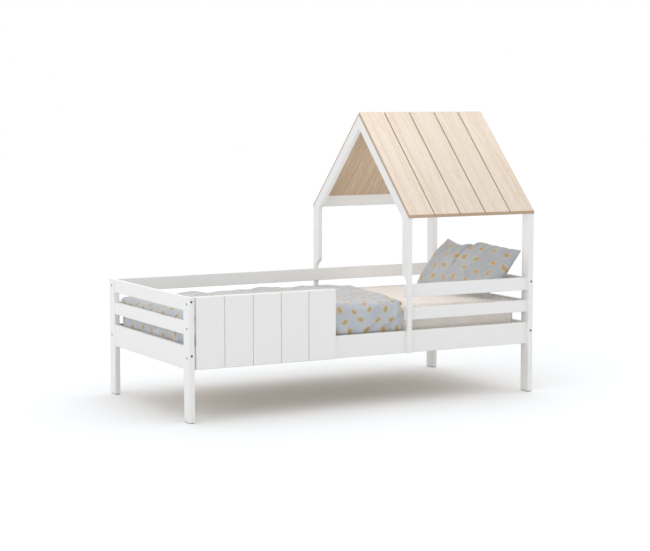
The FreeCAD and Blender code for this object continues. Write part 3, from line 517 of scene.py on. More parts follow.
def glide_plastic(name):
    """Hard dark plastic with a fine spark-eroded grain, scuffed at its rim."""
    material, tree, shader = new_material(name)
    place = object_place(tree)
    edges = use(tree, rubbed_edges, {"Place": place, "Radius": 0.0008, "Patchiness": 300.0})
    grain = noise(tree, place, 2600.0, 2.0)
    tone = mix_colours(tree, grain, (0.045, 0.045, 0.047, 1), (0.075, 0.075, 0.078, 1))
    feed(tree, shader.inputs["Base Color"], mix_colours(tree, edges["Rubbed"], tone, (0.16, 0.16, 0.16, 1)))
    feed(tree, shader.inputs["Roughness"], between(tree, grain, 0.3, 0.7, 0.48, 0.62))
    feed(tree, shader.inputs["Normal"], bump(tree, grain, 0.4, 0.00006, edges["Normal"]))
    return material


dark_steel = screw_steel("screw_steel", (0.05, 0.05, 0.053, 1), (0.34, 0.34, 0.35, 1))
zinc_steel = screw_steel("wood_screw_zinc", (0.42, 0.41, 0.38, 1), (0.72, 0.71, 0.68, 1))
glide = glide_plastic("glide_plastic")
print("hardware:", dark_steel.name, zinc_steel.name, glide.name)

# %% [markdown]
# ### Giving each timber its finish
# The names of the construction's nodes say what each piece is. A rail's grain runs along its
# longest side; roof timbers follow their slope.


# %% Finish of the construction's nodes
def finish_of(name):
    """The material of a construction node, by its name and by its longest side."""
    low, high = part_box(name)
    sides = high - low
    longest = "xyz"[max(range(3), key=lambda k: sides[k])]
    slope = "near" if "_near" in name else "far"
    if name.startswith("roof_board"):
        return pine_roof[slope]
    if name.startswith("rafter"):
        return lacquer[slope]
    if name == "slats":
        return pine_bare["y"]
    if name.startswith("slat_bearer"):
        return pine_bare["x"]
    if name.endswith("_screws"):
        return dark_steel
    if name == "floor_glides":
        return glide
    return lacquer[longest]


SOFT_NODES = ("mattress", "fitted_sheet", "duvet", "pillow")
for name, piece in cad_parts.items():
    if name in SOFT_NODES:
        continue
    finish = finish_of(name)
    for material_slot in piece.material_slots:
        material_slot.material = finish
print("finished", len(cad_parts) - len(SOFT_NODES), "nodes")

# %% [markdown]
# ## Surfaces as arrays
# Every new piece is a grid of points worked out as whole arrays: a sheet of cloth is a function
# of two directions on the cloth. Two helpers turn grids into meshes, and keep the place on the
# cloth, in metres, as the piece's UV map, so that weave and print follow the folds.


# %% Mesh helpers
def grid_faces(rows, columns, start=0, flipped=False):
    """Quads between neighbouring points of a grid, as rows of four point numbers.

    Seen from the side that they face, the rows run right and the columns run up.
    """
    i, j = np.meshgrid(np.arange(rows - 1), np.arange(columns - 1), indexing="ij")
    corner = (start + i * columns + j).ravel()
    quads = np.stack([corner, corner + columns, corner + columns + 1, corner + 1], axis=1)
    return quads[:, ::-1] if flipped else quads


def rim_of(rows, columns):
    """The point numbers round the edge of a grid, in order, once round."""
    number = np.arange(rows * columns).reshape(rows, columns)
    return np.concatenate([number[0], number[1:, -1], number[-1, -2::-1], number[-2:0:-1, 0]])


def mesh_piece(name, points, faces, cloth=None):
    """A smooth-shaded object from points, faces of one size, and places on the cloth."""
    mesh = bpy.data.meshes.new(name)
    corners = faces.shape[1]
    mesh.vertices.add(len(points))
    mesh.vertices.foreach_set("co", np.asarray(points, np.float32).ravel())
    mesh.loops.add(faces.size)
    mesh.loops.foreach_set("vertex_index", faces.astype(np.int32).ravel())
    mesh.polygons.add(len(faces))
    mesh.polygons.foreach_set("loop_start", np.arange(0, faces.size, corners, dtype=np.int32))
    mesh.polygons.foreach_set("use_smooth", np.ones(len(faces), bool))
    if cloth is not None:
        layer = mesh.uv_layers.new(name="UVMap")
        layer.uv.foreach_set("vector", np.asarray(cloth, np.float32)[faces.ravel()].ravel())
    mesh.update(calc_edges=True)
    mesh.validate()
    piece = bpy.data.objects.new(name, mesh)
    bpy.context.scene.collection.objects.link(piece)
    return piece


def two_skins(name, outer, inner, cloth):
    """A closed, stuffed piece: two grids of the same size joined round their edge."""
    rows, columns = outer.shape[:2]
    count = rows * columns
    rim = rim_of(rows, columns)
    after = np.roll(rim, -1)
    edge = np.stack([rim, after, after + count, rim + count], axis=1)
    faces = np.concatenate([grid_faces(rows, columns), grid_faces(rows, columns, count, True), edge])
    points = np.concatenate([outer.reshape(-1, 3), inner.reshape(-1, 3)])
    return mesh_piece(name, points, faces, np.tile(cloth.reshape(-1, 2), (2, 1)))


def points_of(mesh):
    """The mesh's points as rows."""
    flat = np.empty(len(mesh.vertices) * 3, np.float32)
    mesh.vertices.foreach_get("co", flat)
    return flat.reshape(-1, 3).astype(float)


def put_points(piece, points):
    """Move the mesh's points to new places, given as rows."""
    piece.data.vertices.foreach_set("co", points.astype(np.float32).ravel())
    piece.data.update()


def soften(piece):
    """Round a soft piece's faces off once."""
    smooth = piece.modifiers.new("softness", "SUBSURF")
    smooth.levels = smooth.render_levels = 1


def face_outwards(piece):
    """Turn all faces over if the closed piece encloses a negative volume."""
    mesh = piece.data
    mesh.calc_loop_triangles()
    numbers = np.empty(len(mesh.loop_triangles) * 3, np.int32)
    mesh.loop_triangles.foreach_get("vertices", numbers)
    a, b, c = np.moveaxis(points_of(mesh)[numbers.reshape(-1, 3)], 1, 0)
    volume = float((a * np.cross(b, c)).sum() / 6)
    if volume < 0:
        mesh.flip_normals()
    return abs(volume)


# %% Smooth chance
def swells(x, y, seed, wave, count=14):
    """A smooth random height near -1 to 1: a sum of plane waves of about one wavelength.

    Each wave has its own direction, phase and a length within a third of the given one.
    """
    chance = np.random.default_rng(seed)
    total = np.zeros(np.broadcast(x, y).shape)
    for turn, phase, length in zip(*chance.random((3, count))):
        heading = 2 * math.pi * turn
        size = 2 * math.pi / (wave * (0.72 + 0.62 * length))
        total += np.sin(size * (x * math.cos(heading) + y * math.sin(heading)) + 2 * math.pi * phase)
    return total / math.sqrt(count)


def ease(value, low, high):
    """0 below low, 1 above high, and a smooth step between them."""
    share = np.clip((value - low) / (high - low), 0, 1)
    return share * share * (3 - 2 * share)


# %% [markdown]
# ## Laying cloth over a mattress
# Sheet and quilt both start as flat cloth and go over a block with rounded edges. A simulation
# could drop them, but they are fitted and tucked by hand here, so a formula is surer: a point of
# the cloth that lies past the top's edge follows a profile down the side, and at a corner the
# square overhang is turned into a quarter circle, as a boxed corner is cut and sewn.


# %% Wrap a flat cloth over a block
def wrap(flat, core_low, core_high, profile):
    """Carry flat places over a block.

    A place inside the core rectangle stays above it. One that overhangs it goes to the nearest
    core point, then out and down as profile(distance) says, which gives (reach, height). The
    distance is the larger of the two overhangs, and their ratio turns the heading round a corner.
    """
    inside = np.clip(flat, core_low, core_high)
    over = flat - inside
    size = np.abs(over)
    far, near = size.max(axis=-1), size.min(axis=-1)
    angle = math.pi / 4 * near / np.maximum(far, 1e-9)
    leading = size == far[..., None]
    leading[..., 1] &= ~leading[..., 0]
    heading = np.where(leading, np.cos(angle)[..., None], np.sin(angle)[..., None]) * np.sign(over)
    reach, height = profile(far)
    return np.concatenate([inside + heading * reach[..., None], height[..., None]], axis=-1)


def round_corners(points, low, high, radius):
    """Pull what lies outside a rectangle with round corners in, onto its outline, seen from above."""
    centre = np.clip(points[..., :2], low + radius, high - radius)
    away = points[..., :2] - centre
    past = np.maximum(np.linalg.norm(away, axis=-1, keepdims=True) / radius, 1)
    points[..., :2] = centre + away / past


def box_profile(top, shoulder, drop, foot=0.0):
    """The side of a block: a round shoulder, a straight drop and, if asked, a turn under it.

    Distances run along the cloth. drop is the height of the straight part.
    """
    arc = shoulder * math.pi / 2
    turn = foot * math.pi / 2

    def profile(distance):
        on_arc = np.clip(distance, 0, arc) / shoulder
        reach = shoulder * np.sin(on_arc)
        height = top - shoulder * (1 - np.cos(on_arc))
        height = height - np.clip(distance - arc, 0, drop if foot else None)
        if foot:
            under = np.clip(distance - arc - drop, 0, turn) / foot
            reach = reach - foot * (1 - np.cos(under)) - np.clip(distance - arc - drop - turn, 0, None)
            height = height - foot * np.sin(under)
        return reach, height

    return profile


# %% [markdown]
# ## Cotton
# Sheet, quilt cover and pillow case are plain-woven cotton: matt, with a soft sheen at grazing
# angles, small creases from the wash, and threads that show close up. One recipe makes all
# three; the print is added to the blue-grey ones.


# %% Cotton finishes
HALO_SAND = (0.62, 0.57, 0.38, 1)
INK_MUSTARD, INK_OLIVE = (0.60, 0.31, 0.07, 1), (0.42, 0.32, 0.13, 1)


def cotton(name, tone, shade, thread, crease_size, crease_depth, printed=None):
    """Woven cotton; printed gives the column, row and size of its motifs, in metres."""
    material, tree, shader = new_material(name)
    on_cloth = add(tree, "ShaderNodeUVMap", uv_map="UVMap").outputs["UV"]
    weave = use(tree, plain_weave, {"On cloth": on_cloth, "Thread": thread})
    creases = use(tree, cotton_creases, {"Place": on_cloth, "Size": crease_size})
    wash = noise(tree, on_cloth, 9.0, 3.0)
    colour = mix_colours(tree, between(tree, wash, 0.3, 0.7), tone, shade)
    fleck = between(tree, weave["Slub"], 0.42, 0.6, 0.0, 0.35)
    colour = mix_colours(tree, fleck, colour, shade)
    if printed:
        column, row, size = printed
        motif = use(tree, seed_print, {"On cloth": on_cloth, "Column": column, "Row": row, "Size": size})
        halo = calc(tree, "MULTIPLY", motif["Halo"], 0.5)
        colour = mix_colours(tree, halo, colour, HALO_SAND)
        ink = mix_colours(tree, motif["Chance"], INK_MUSTARD, INK_OLIVE)
        colour = mix_colours(tree, calc(tree, "MULTIPLY", motif["Motif"], 0.85), colour, ink)
    feed(tree, shader.inputs["Base Color"], colour)
    feed(tree, shader.inputs["Roughness"], between(tree, wash, 0.3, 0.7, 0.82, 0.93))
    shader.inputs["Sheen Weight"].default_value = 0.25
    shader.inputs["Sheen Roughness"].default_value = 0.5
    shader.inputs["Specular IOR Level"].default_value = 0.25
    threads = bump(tree, weave["Height"], 0.35, 0.0003)
    feed(tree, shader.inputs["Normal"], bump(tree, creases["Height"], 0.6, crease_depth, threads))
    return material


BLUE_GREY, BLUE_GREY_DEEP = (0.550, 0.577, 0.612, 1), (0.470, 0.497, 0.538, 1)
CASE_GREY, CASE_GREY_DEEP = (0.470, 0.495, 0.522, 1), (0.412, 0.436, 0.465, 1)
SHEET_CREAM, SHEET_SHADE = (0.885, 0.832, 0.782, 1), (0.85, 0.787, 0.732, 1)
COVER_WHITE, COVER_SHADE = (0.83, 0.82, 0.79, 1), (0.78, 0.77, 0.74, 1)
QUILT_PRINT, CASE_PRINT = (0.080, 0.043, 0.0122), (0.083, 0.056, 0.0130)
sheet_cotton = cotton("sheet_cotton", SHEET_CREAM, SHEET_SHADE, 0.0011, 30.0, 0.0028)
quilt_cotton = cotton("quilt_cotton", BLUE_GREY, BLUE_GREY_DEEP, 0.0012, 11.0, 0.002, QUILT_PRINT)
pillow_cotton = cotton("pillow_cotton", CASE_GREY, CASE_GREY_DEEP, 0.0012, 15.0, 0.002, CASE_PRINT)
ticking = cotton("mattress_cover", COVER_WHITE, COVER_SHADE, 0.0016, 9.0, 0.001)
print("cotton:", sheet_cotton.name, quilt_cotton.name, pillow_cotton.name, ticking.name)

# %% [markdown]
# ## The mattress
# A foam mattress of 134 mm in a knitted cover with a piped seam round its upper and lower edge.
# The fitted sheet hides nearly all of it; through the slats its underside shows, quilted in a
# diamond pattern. It is one closed skin: the flat of the cloth is wrapped down the sides for the
# upper half, and again, upside down, for the lower half.


# %% Mattress
def room_of(node):
    """The lowest and highest corner of the room that the construction holds for a piece."""
    return [np.array(corner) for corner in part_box(node)]


foam_low, foam_high = room_of("mattress")
CORNER_RADIUS = 0.034
FOAM_CORNER = CORNER_RADIUS - 0.002
# The rounding along the edges, the piped seam's height, place and width on it, and the pattern.
FOAM_EDGE, PIPE = 0.016, 0.0022
PIPE_PLACE, PIPE_WIDTH, PIPE_SHARE = 0.012, 0.004, 0.7
DIAMOND = 0.11


def half_mattress(sign, steps=(170, 90)):
    """The upper (+1) or lower (-1) half of the mattress, its skin wrapped from its own panel.

    The panel is quilted in diamonds: the lower of two slanted waves. Near the edge the skin
    swells into a piped seam, a bump of a few millimetres along the rim.
    """
    middle_z = (foam_low[2] + foam_high[2]) / 2
    half_tall = (foam_high[2] - foam_low[2]) / 2
    core_low, core_high = foam_low[:2] + FOAM_EDGE + PIPE, foam_high[:2] - FOAM_EDGE - PIPE
    reach_down = FOAM_EDGE * math.pi / 2 + half_tall - FOAM_EDGE - PIPE
    spans = [np.linspace(core_low[k] - reach_down, core_high[k] + reach_down, steps[k]) for k in (0, 1)]
    flat = np.stack(np.meshgrid(*spans, indexing="ij"), axis=-1)
    points = wrap(flat, core_low, core_high, box_profile(half_tall - PIPE, FOAM_EDGE, half_tall))
    over = np.abs(flat - np.clip(flat, core_low, core_high)).max(axis=-1)
    panel = 1 - ease(over, 0.0, 0.01)
    slant = np.stack([flat[..., 0] + flat[..., 1], flat[..., 0] - flat[..., 1]])
    diamonds = np.abs(np.sin(slant * math.pi / DIAMOND)).min(axis=0)
    points[..., 2] += panel * PIPE * (np.sqrt(diamonds) - 1)
    piping = np.exp(-(((over - PIPE_PLACE) / PIPE_WIDTH) ** 2)) * PIPE
    points[..., 2] += piping * PIPE_SHARE
    points[..., 2] = np.maximum(points[..., 2], 0)
    points[..., 2] = middle_z + sign * points[..., 2]
    round_corners(points, foam_low[:2], foam_high[:2], FOAM_CORNER)
    return points, flat


upper, on_cloth = half_mattress(1)
lower, _ = half_mattress(-1)
mattress = two_skins("mattress_body", upper, lower, on_cloth)
mattress.data.materials.append(ticking)
print("mattress volume", round(face_outwards(mattress), 4), "m3")
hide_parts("mattress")
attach(mattress, "mattress")

# %% [markdown]
# ## The fitted sheet
# A cream cotton sheet with boxed corners, pulled over the mattress and turned under it by 45 mm,
# where elastic gathers its hem. It is stretched, so its top is nearly flat with long faint
# tension lines; the gathers make fine upright puckers that fade from the hem upwards.

# %% Fitted sheet
sheet_low, sheet_high = room_of("fitted_sheet")
HEM = 0.045
CLOTH_THICK = 0.0009
SHEET_ROUND, SHEET_FOOT = 0.020, 0.008
# How far the smooth cloth stays inside its room, and then how high or deep each unevenness is.
SHEET_INSIDE, SHEET_CLEAR = 0.0016, 0.0004
PUCKER, PUCKER_WAVE, PUCKER_MOST = 0.0014, 0.014, 0.0012
DRAWN, DRAWN_IN, DRAWN_OUT = 0.0012, 0.0014, 0.0004
TENSION, RUCK = 0.0007, 0.0021


def rim_share(flat, core_low, core_high):
    """1 at the edge of the bed's top, falling to a third over its middle."""
    inside = np.minimum(flat - core_low, core_high - flat).min(axis=-1)
    return 1 - 0.67 * ease(inside, 0.0, 0.16)


def fitted_sheet(steps=(520, 300)):
    """The sheet as one wrapped cloth, puckered towards its hem.

    Puckers are waves round the outline, whose height grows from nothing below the shoulder to
    about a millimetre at the lower edge. The top has tension lines, long shallow waves, and near
    its rim small rucks: ridges where the sum of two sets of waves is near zero.
    """
    core_low = sheet_low[:2] + SHEET_ROUND + SHEET_INSIDE
    core_high = sheet_high[:2] - SHEET_ROUND - SHEET_INSIDE
    drop = sheet_high[2] - sheet_low[2] - SHEET_ROUND - SHEET_FOOT - 2 * SHEET_INSIDE
    reach = SHEET_ROUND * math.pi / 2 + drop + SHEET_FOOT * math.pi / 2 + HEM - SHEET_FOOT
    spans = [np.linspace(core_low[k] - reach, core_high[k] + reach, steps[k]) for k in (0, 1)]
    flat = np.stack(np.meshgrid(*spans, indexing="ij"), axis=-1)
    profile = box_profile(sheet_high[2] - SHEET_INSIDE, SHEET_ROUND, drop, SHEET_FOOT)
    points = wrap(flat, core_low, core_high, profile)
    over = np.abs(flat - np.clip(flat, core_low, core_high)).max(axis=-1)
    side = ease(over, 0.012, 0.05)
    low_side = ease(over, 0.05, 0.14)
    x, y = points[..., 0], points[..., 1]
    around = np.sin((x - y) * 2 * math.pi / PUCKER_WAVE + 2.4 * swells(x, y, 5, 0.11))
    pucker = PUCKER * low_side * around * (0.65 + 0.35 * swells(x, y, 8, 0.06))
    middle = (core_low + core_high) / 2
    outward = points[..., :2] - np.clip(points[..., :2], core_low, core_high)
    outward = outward / np.maximum(np.linalg.norm(outward, axis=-1, keepdims=True), 1e-9)
    drawn = DRAWN * side * swells(x, y + points[..., 2], 3, 0.16)
    moved = np.clip(pucker, -PUCKER_MOST, PUCKER_MOST) + np.clip(drawn, -DRAWN_IN, DRAWN_OUT) - DRAWN_OUT
    points[..., :2] += outward * moved[..., None]
    fan = np.arctan2(flat[..., 1] - middle[1], flat[..., 0] - middle[0])
    lines = swells(flat[..., 0] * 0.45, flat[..., 1] * 3.2, 11, 0.16) * 0.6 + 0.4 * np.sin(24 * fan)
    top_share = 1 - ease(over, 0.0, 0.02)
    points[..., 2] -= TENSION * top_share * np.clip(1 + lines, 0, 2)
    x, y = flat[..., 0], flat[..., 1]
    ruck = 1 - np.abs(swells(x * 0.7, y, 31, 0.055) + 0.5 * swells(x, y, 32, 0.026))
    on_shoulder = ease(over, -0.001, 0.0) * (1 - ease(over, 0.03, 0.07))
    near_rim = on_shoulder + top_share * rim_share(flat, core_low, core_high)
    points[..., 2] += RUCK * near_rim * np.clip(ruck, 0, 1)
    round_corners(points, sheet_low[:2] + SHEET_CLEAR, sheet_high[:2] - SHEET_CLEAR, CORNER_RADIUS)
    return points, flat


skin, on_cloth = fitted_sheet()
rows, columns = skin.shape[:2]
sheet_faces = grid_faces(rows, columns)
sheet = mesh_piece("sheet_body", skin.reshape(-1, 3), sheet_faces, on_cloth.reshape(-1, 2))
sheet.data.materials.append(sheet_cotton)
thickness = sheet.modifiers.new("cloth_thickness", "SOLIDIFY")
thickness.thickness = CLOTH_THICK
thickness.offset = -1
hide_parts("fitted_sheet")
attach(sheet, "mattress")

# %% [markdown]
# ## Swelling a stuffed piece
# Quilt and pillow are two skins sewn together round a filling. The filling pushes the skins out
# and the cloth, a little too large for the form, buckles into folds. Blender's cloth does just
# that: pressure inside, no gravity, a few steps, and a limit on how far a point may go, so that
# the piece stays in the room that the construction holds for it. The result is written into the
# mesh, so nothing is left running.

# %% Cloth under pressure
SWELL_STEPS = 16


def swell(piece, pressure, extra_cloth, limit, held=None):
    """Let a closed piece fill out, then move no point further than limit from its start.

    extra_cloth is the share by which the cloth is larger than the form. held gives a weight from
    0 to 1 for each point that is kept in place.
    """
    start = points_of(piece.data)
    soft = piece.modifiers.new("filling", "CLOTH")
    settings = soft.settings
    settings.use_pressure = True
    settings.uniform_pressure_force = pressure
    settings.effector_weights.gravity = 0
    settings.shrink_min = -extra_cloth
    settings.tension_stiffness = 18
    settings.compression_stiffness = 18
    settings.shear_stiffness = 6
    settings.bending_stiffness = 0.6
    settings.quality = 5
    soft.collision_settings.use_collision = False
    if held is not None:
        group = piece.vertex_groups.new(name="held")
        for weight in np.unique(held):
            group.add(np.flatnonzero(held == weight).tolist(), float(weight), "REPLACE")
        settings.vertex_group_mass = "held"
    soft.point_cache.frame_start = 1
    soft.point_cache.frame_end = SWELL_STEPS
    scene = bpy.context.scene
    for step in range(1, SWELL_STEPS + 1):
        scene.frame_set(step)
        bpy.context.view_layer.update()
    shown = piece.evaluated_get(bpy.context.evaluated_depsgraph_get())
    moved = points_of(shown.data) - start
    piece.modifiers.remove(soft)
    if held is not None:
        piece.vertex_groups.remove(piece.vertex_groups["held"])
    scene.frame_set(1)
    far = np.linalg.norm(moved, axis=1)
    moved *= (np.minimum(far, limit) / np.maximum(far, 1e-9))[:, None]
    put_points(piece, start + moved)
    average, most = float(far.mean()) * 1000, float(far.max()) * 1000
    print(piece.name, "moved", round(average, 2), "mm, most", round(most, 1))


# %% [markdown]
# ## The quilt
# A filled quilt in a printed cover lies over the foot two thirds of the bed. It hangs down the
# near side, the foot end and most of the far side, between mattress and rails, and its open edge
# runs slantwise over the bed. On top it billows in low, soft lumps. The outer skin is a wrapped
# cloth raised by the lumps; the inner skin follows the mattress; they meet in a sewn edge, thin on
# top and thicker at the hems that hang down.

# %% Quilt
quilt_low, quilt_high = room_of("duvet")
BED_TOP = float(sheet_high[2])
# Where the open edge lies at the near side, at the far side and on the far skirt, the stretch
# before the far side over which it goes back to there, and its own bulge, drop and wave.
QUILT_HEAD_NEAR, QUILT_HEAD_FAR = 0.188, float(quilt_high[0])
FAR_SKIRT_END = 0.176
CUT_FROM, CUT_TO = 0.075, 0.008
EDGE_BULGE, EDGE_DROP, EDGE_WAVE, EDGE_BACK = 0.034, 0.004, 0.0025, 0.003
# The roundings of its two skins, its height over the bed, its lumps, its folds and its hems.
INNER_ROUND, OUTER_ROUND = 0.010, 0.030
CROWN, LUMP, FOLD, FOLD_WAVE = 0.0215, 0.0046, 0.0024, 0.112
HEM_ON_TOP, HEM_MORE_BELOW = 0.26, 0.56
QUILT_CORNER = 0.056
# How far it lies off the sheet, stays off the rails and may rise over its room.
LIE, SIDE_CLEAR, FOOT_CLEAR = 0.0012, 0.001, 0.0012
ROOM_CLEAR, OVER_ROOM = 0.0006, 0.006
NO_RIM = 9.0  # the open edge has no rim to fold over, so the core runs on far past it


def quilt_skins(steps=(150, 150)):
    """Outer and inner skin of the quilt, and places on its cloth.

    Cloth places are (along, across). The open edge slants over the top in a shallow bow, is upright
    on the near side and cut back on the far side. Fullness falls to a sewn edge all round.
    """
    side_out, side_in = quilt_high[1] - SIDE_CLEAR, sheet_high[1] + LIE
    foot_out, foot_in = quilt_low[0] + FOOT_CLEAR, sheet_low[0] - LIE
    skirt = float(BED_TOP - quilt_low[2])
    drop = INNER_ROUND * math.pi / 2 + skirt - INNER_ROUND
    across = np.linspace(-(side_in - INNER_ROUND) - drop, side_in - INNER_ROUND + drop, steps[1])
    top_share = np.clip((across + side_in) / (2 * side_in), 0, 1)
    open_edge = QUILT_HEAD_NEAR + top_share * (QUILT_HEAD_FAR - QUILT_HEAD_NEAR)
    open_edge += EDGE_BULGE * ease(top_share, 0.01, 0.12) * (1 - ease(top_share, 0.3, 0.9))
    cut_back = ease(across, side_in - CUT_FROM, side_in - CUT_TO)
    open_edge += cut_back * (FAR_SKIRT_END - open_edge)
    open_edge += EDGE_WAVE * np.sin(across * 21) - EDGE_BACK
    start = foot_in + INNER_ROUND - drop
    share = np.linspace(0, 1, steps[0])[:, None]
    along = start + share * (open_edge[None, :] - start)
    flat = np.stack([along, np.broadcast_to(across, along.shape)], axis=-1)

    core_low = np.array([foot_in + INNER_ROUND, -side_in + INNER_ROUND])
    core_high = np.array([NO_RIM, side_in - INNER_ROUND])
    inner = wrap(flat, core_low, core_high, box_profile(BED_TOP + LIE, INNER_ROUND, None))

    # the outer skin covers the same cloth, spread a little further out and up
    spread = np.array([foot_in - foot_out, side_out - side_in])
    outer_core_low = core_low + OUTER_ROUND - INNER_ROUND - spread
    outer_core_high = np.array([NO_RIM, -outer_core_low[1]])
    outer = wrap(flat, outer_core_low, outer_core_high, box_profile(BED_TOP + CROWN, OUTER_ROUND, None))
    outer[..., 2] = np.maximum(outer[..., 2], quilt_low[2] + 0.002)
    over = np.abs(flat - np.clip(flat, core_low, core_high)).max(axis=-1)
    x, y = flat[..., 0], flat[..., 1]
    top = 1 - ease(over, 0.0, 0.06)
    lumps = 0.7 * swells(x, y, 21, 0.30) + 0.4 * swells(x, y, 4, 0.13)
    outer[..., 2] += top * LUMP * np.clip(lumps, -1.7, 1.5)
    thinned = 1 - ease(open_edge[None, :] - along, -0.01, 0.15)
    outer[..., 2] -= EDGE_DROP * thinned * (1 - ease(over, 0.06, 0.12))
    is_end = (core_low[0] - x) > np.abs(y) - core_high[1]
    run = np.where(is_end, y, x)
    folds = np.sin(run * 2 * math.pi / FOLD_WAVE + 2.2 * np.sin(run * 9)) + 0.5 * swells(x, y, 14, 0.09)
    depth = FOLD * ease(over, 0.03, 0.13) * np.clip(0.8 + 0.7 * folds, 0, 2)
    outer[..., 0] += np.where(is_end, depth, 0)
    outer[..., 1] -= np.where(is_end, 0, np.sign(y) * depth)

    rim = np.minimum(open_edge[None, :] - along, along - start)
    rim = np.minimum(rim, np.minimum(flat[..., 1] - across[0], across[-1] - flat[..., 1]))
    hem = HEM_ON_TOP + HEM_MORE_BELOW * ease(over, 0.02, 0.06)
    full = hem + (1 - hem) * np.sqrt(ease(rim, -0.004, 0.034))
    outer = inner + (outer - inner) * full[..., None]
    outside = np.array([NO_RIM, quilt_high[1] - ROOM_CLEAR])
    round_corners(outer, quilt_low[:2] + ROOM_CLEAR, outside, QUILT_CORNER)
    inside = np.array([NO_RIM, sheet_high[1] + LIE])
    round_corners(inner, sheet_low[:2] - LIE, inside, CORNER_RADIUS + LIE)
    return outer, inner, flat


def keep_in_room(points):
    """Hold the quilt clear of the rails round it; its lumps may rise 6 mm over the construction."""
    low, high = quilt_low + ROOM_CLEAR, quilt_high + (-ROOM_CLEAR, -ROOM_CLEAR, OVER_ROOM)
    return np.clip(points, low, high)


outer, inner, on_cloth = quilt_skins()
quilt = two_skins("quilt_body", outer, inner, on_cloth)
quilt.data.materials.append(quilt_cotton)
print("quilt volume", round(face_outwards(quilt), 4), "m3")
held = np.repeat([0.0, 1.0], outer[..., 0].size)
swell(quilt, pressure=1.2, extra_cloth=0.03, limit=0.005, held=held)
put_points(quilt, keep_in_room(points_of(quilt.data)))
soften(quilt)
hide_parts("duvet")
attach(quilt, "duvet")

# %% [markdown]
# ## The pillow
# A small flat pillow leans on the head rails in a printed case. It is not a neat cushion: its
# upper edge dips beside a peaked corner and rises to a hump, from which a crease runs down the
# front, and its lower near corner is pushed up by the bed. A scan or sculpting could catch such
# a shape; here the seam is drawn as four edge curves, the skins are a blended patch between them,
# the cloth step puckers the seams, and the creases are added last.

# %% The pillow's seam
PILLOW_MIDDLE = np.array([0.712, -0.074, 0.535])
PILLOW_ALONG = np.array([0.0698, -0.9976, 0.0])
PILLOW_UP = np.array([0.6412, 0.0449, 0.7660])
PILLOW_FRONT = np.array([-0.7642, -0.0534, 0.6428])
PILLOW_THICK = 0.116

# Places on the seam in millimetres: along the pillow towards the near end, and up its lean.
SEAM_TOP = ((-257, 147), (-180, 134), (-106, 127), (-30, 131), (28, 147), (90, 143), (171, 138), (302, 131))
SEAM_BOTTOM = ((-264, -130), (-150, -122), (0, -118), (150, -117), (268, -116))
SEAM_FAR = ((-264, -130), (-271, -83), (-272, 24), (-268, 79), (-257, 146))
SEAM_NEAR = ((272, -116), (297, -60), (299, 0), (299, 60), (302, 131))


def smooth_curve(knots, share):
    """A curve through knots, eased between them, at shares from 0 to 1 of its length."""
    knots = np.array(knots, float) / 1000
    steps = np.concatenate([[0], np.cumsum(np.linalg.norm(np.diff(knots, axis=0), axis=1))])
    steps = steps / steps[-1]
    tangent = np.gradient(knots, steps, axis=0)
    piece = np.clip(np.searchsorted(steps, share, side="right") - 1, 0, len(steps) - 2)
    span = (steps[piece + 1] - steps[piece])[:, None]
    t = (share - steps[piece])[:, None] / span
    start, finish = knots[piece], knots[piece + 1]
    pull = (t**3 - 2 * t**2 + t) * tangent[piece] * span + (t**3 - t**2) * tangent[piece + 1] * span
    return (2 * t**3 - 3 * t**2 + 1) * start + (3 * t**2 - 2 * t**3) * finish + pull


def seam_patch(p, q):
    """The flat patch between the four seams, for shares p along and q up, as a Coons patch.

    It is the blend of the two long seams plus the blend of the two ends, less the blend of the
    four corners, which both of them hold.
    """
    low, high = smooth_curve(SEAM_BOTTOM, p)[:, None], smooth_curve(SEAM_TOP, p)[:, None]
    far, near = smooth_curve(SEAM_FAR, q)[None], smooth_curve(SEAM_NEAR, q)[None]
    across, up = p[:, None, None], q[None, :, None]
    long_way = low * (1 - up) + high * up
    short_way = far * (1 - across) + near * across
    lower_line = far[:, :1] * (1 - across) + near[:, :1] * across
    upper_line = far[:, -1:] * (1 - across) + near[:, -1:] * across
    return long_way + short_way - lower_line * (1 - up) - upper_line * up


# %% Pillow
def pillow_skins(steps=(121, 67)):
    """Front and back skin of the pillow, and places on its case.

    The thickness is the product of two round falls towards the seams, and a little less at the
    upper edge, where the filling has slid down.
    """
    p = 0.5 - 0.5 * np.cos(np.linspace(0.0, math.pi, steps[0]))
    p = 0.5 * p + 0.5 * np.linspace(0, 1, steps[0])
    q = np.linspace(0, 1, steps[1])
    case = seam_patch(p, q)
    centred_p, centred_q = np.meshgrid(2 * p - 1, 2 * q - 1, indexing="ij")
    fall = (1 - np.abs(centred_p) ** 3.0) ** 0.6 * (1 - np.abs(centred_q) ** 2.4) ** 0.6
    half = PILLOW_THICK / 2 * (0.03 + (0.80 - 0.10 * centred_q) * fall)
    surface = PILLOW_MIDDLE + case[..., :1] * PILLOW_ALONG + case[..., 1:] * PILLOW_UP
    return surface + half[..., None] * PILLOW_FRONT, surface - half[..., None] * PILLOW_FRONT, case, fall


# Each crease: along and up at its start and at its end, its half width, and how far the skin
# stands out (or in, if negative), all in millimetres.
PILLOW_CREASES = (
    (-6, 150, -36, -120, 9, -22),
    (22, 150, 0, -110, 14, 14),
    (-34, 140, -66, -80, 15, 7),
    (-96, 132, -60, -30, 12, -10),
    (-60, 60, -150, -90, 12, 7),
    (-240, 120, -120, 45, 10, -10),
    (-258, 60, -150, -20, 16, 5),
    (110, 142, 70, 20, 14, -6),
    (180, 138, 130, 40, 12, -5),
    (298, 124, 200, 60, 6, -9),
    (298, 100, 170, 15, 7, -10),
    (298, 72, 190, -20, 6, -9),
    (298, 40, 200, -48, 7, -9),
    (296, 8, 190, -80, 7, -9),
    (290, -30, 205, -100, 7, -8),
    (220, -112, 90, -50, 13, -6),
    (-250, -120, -150, -60, 11, -5),
)


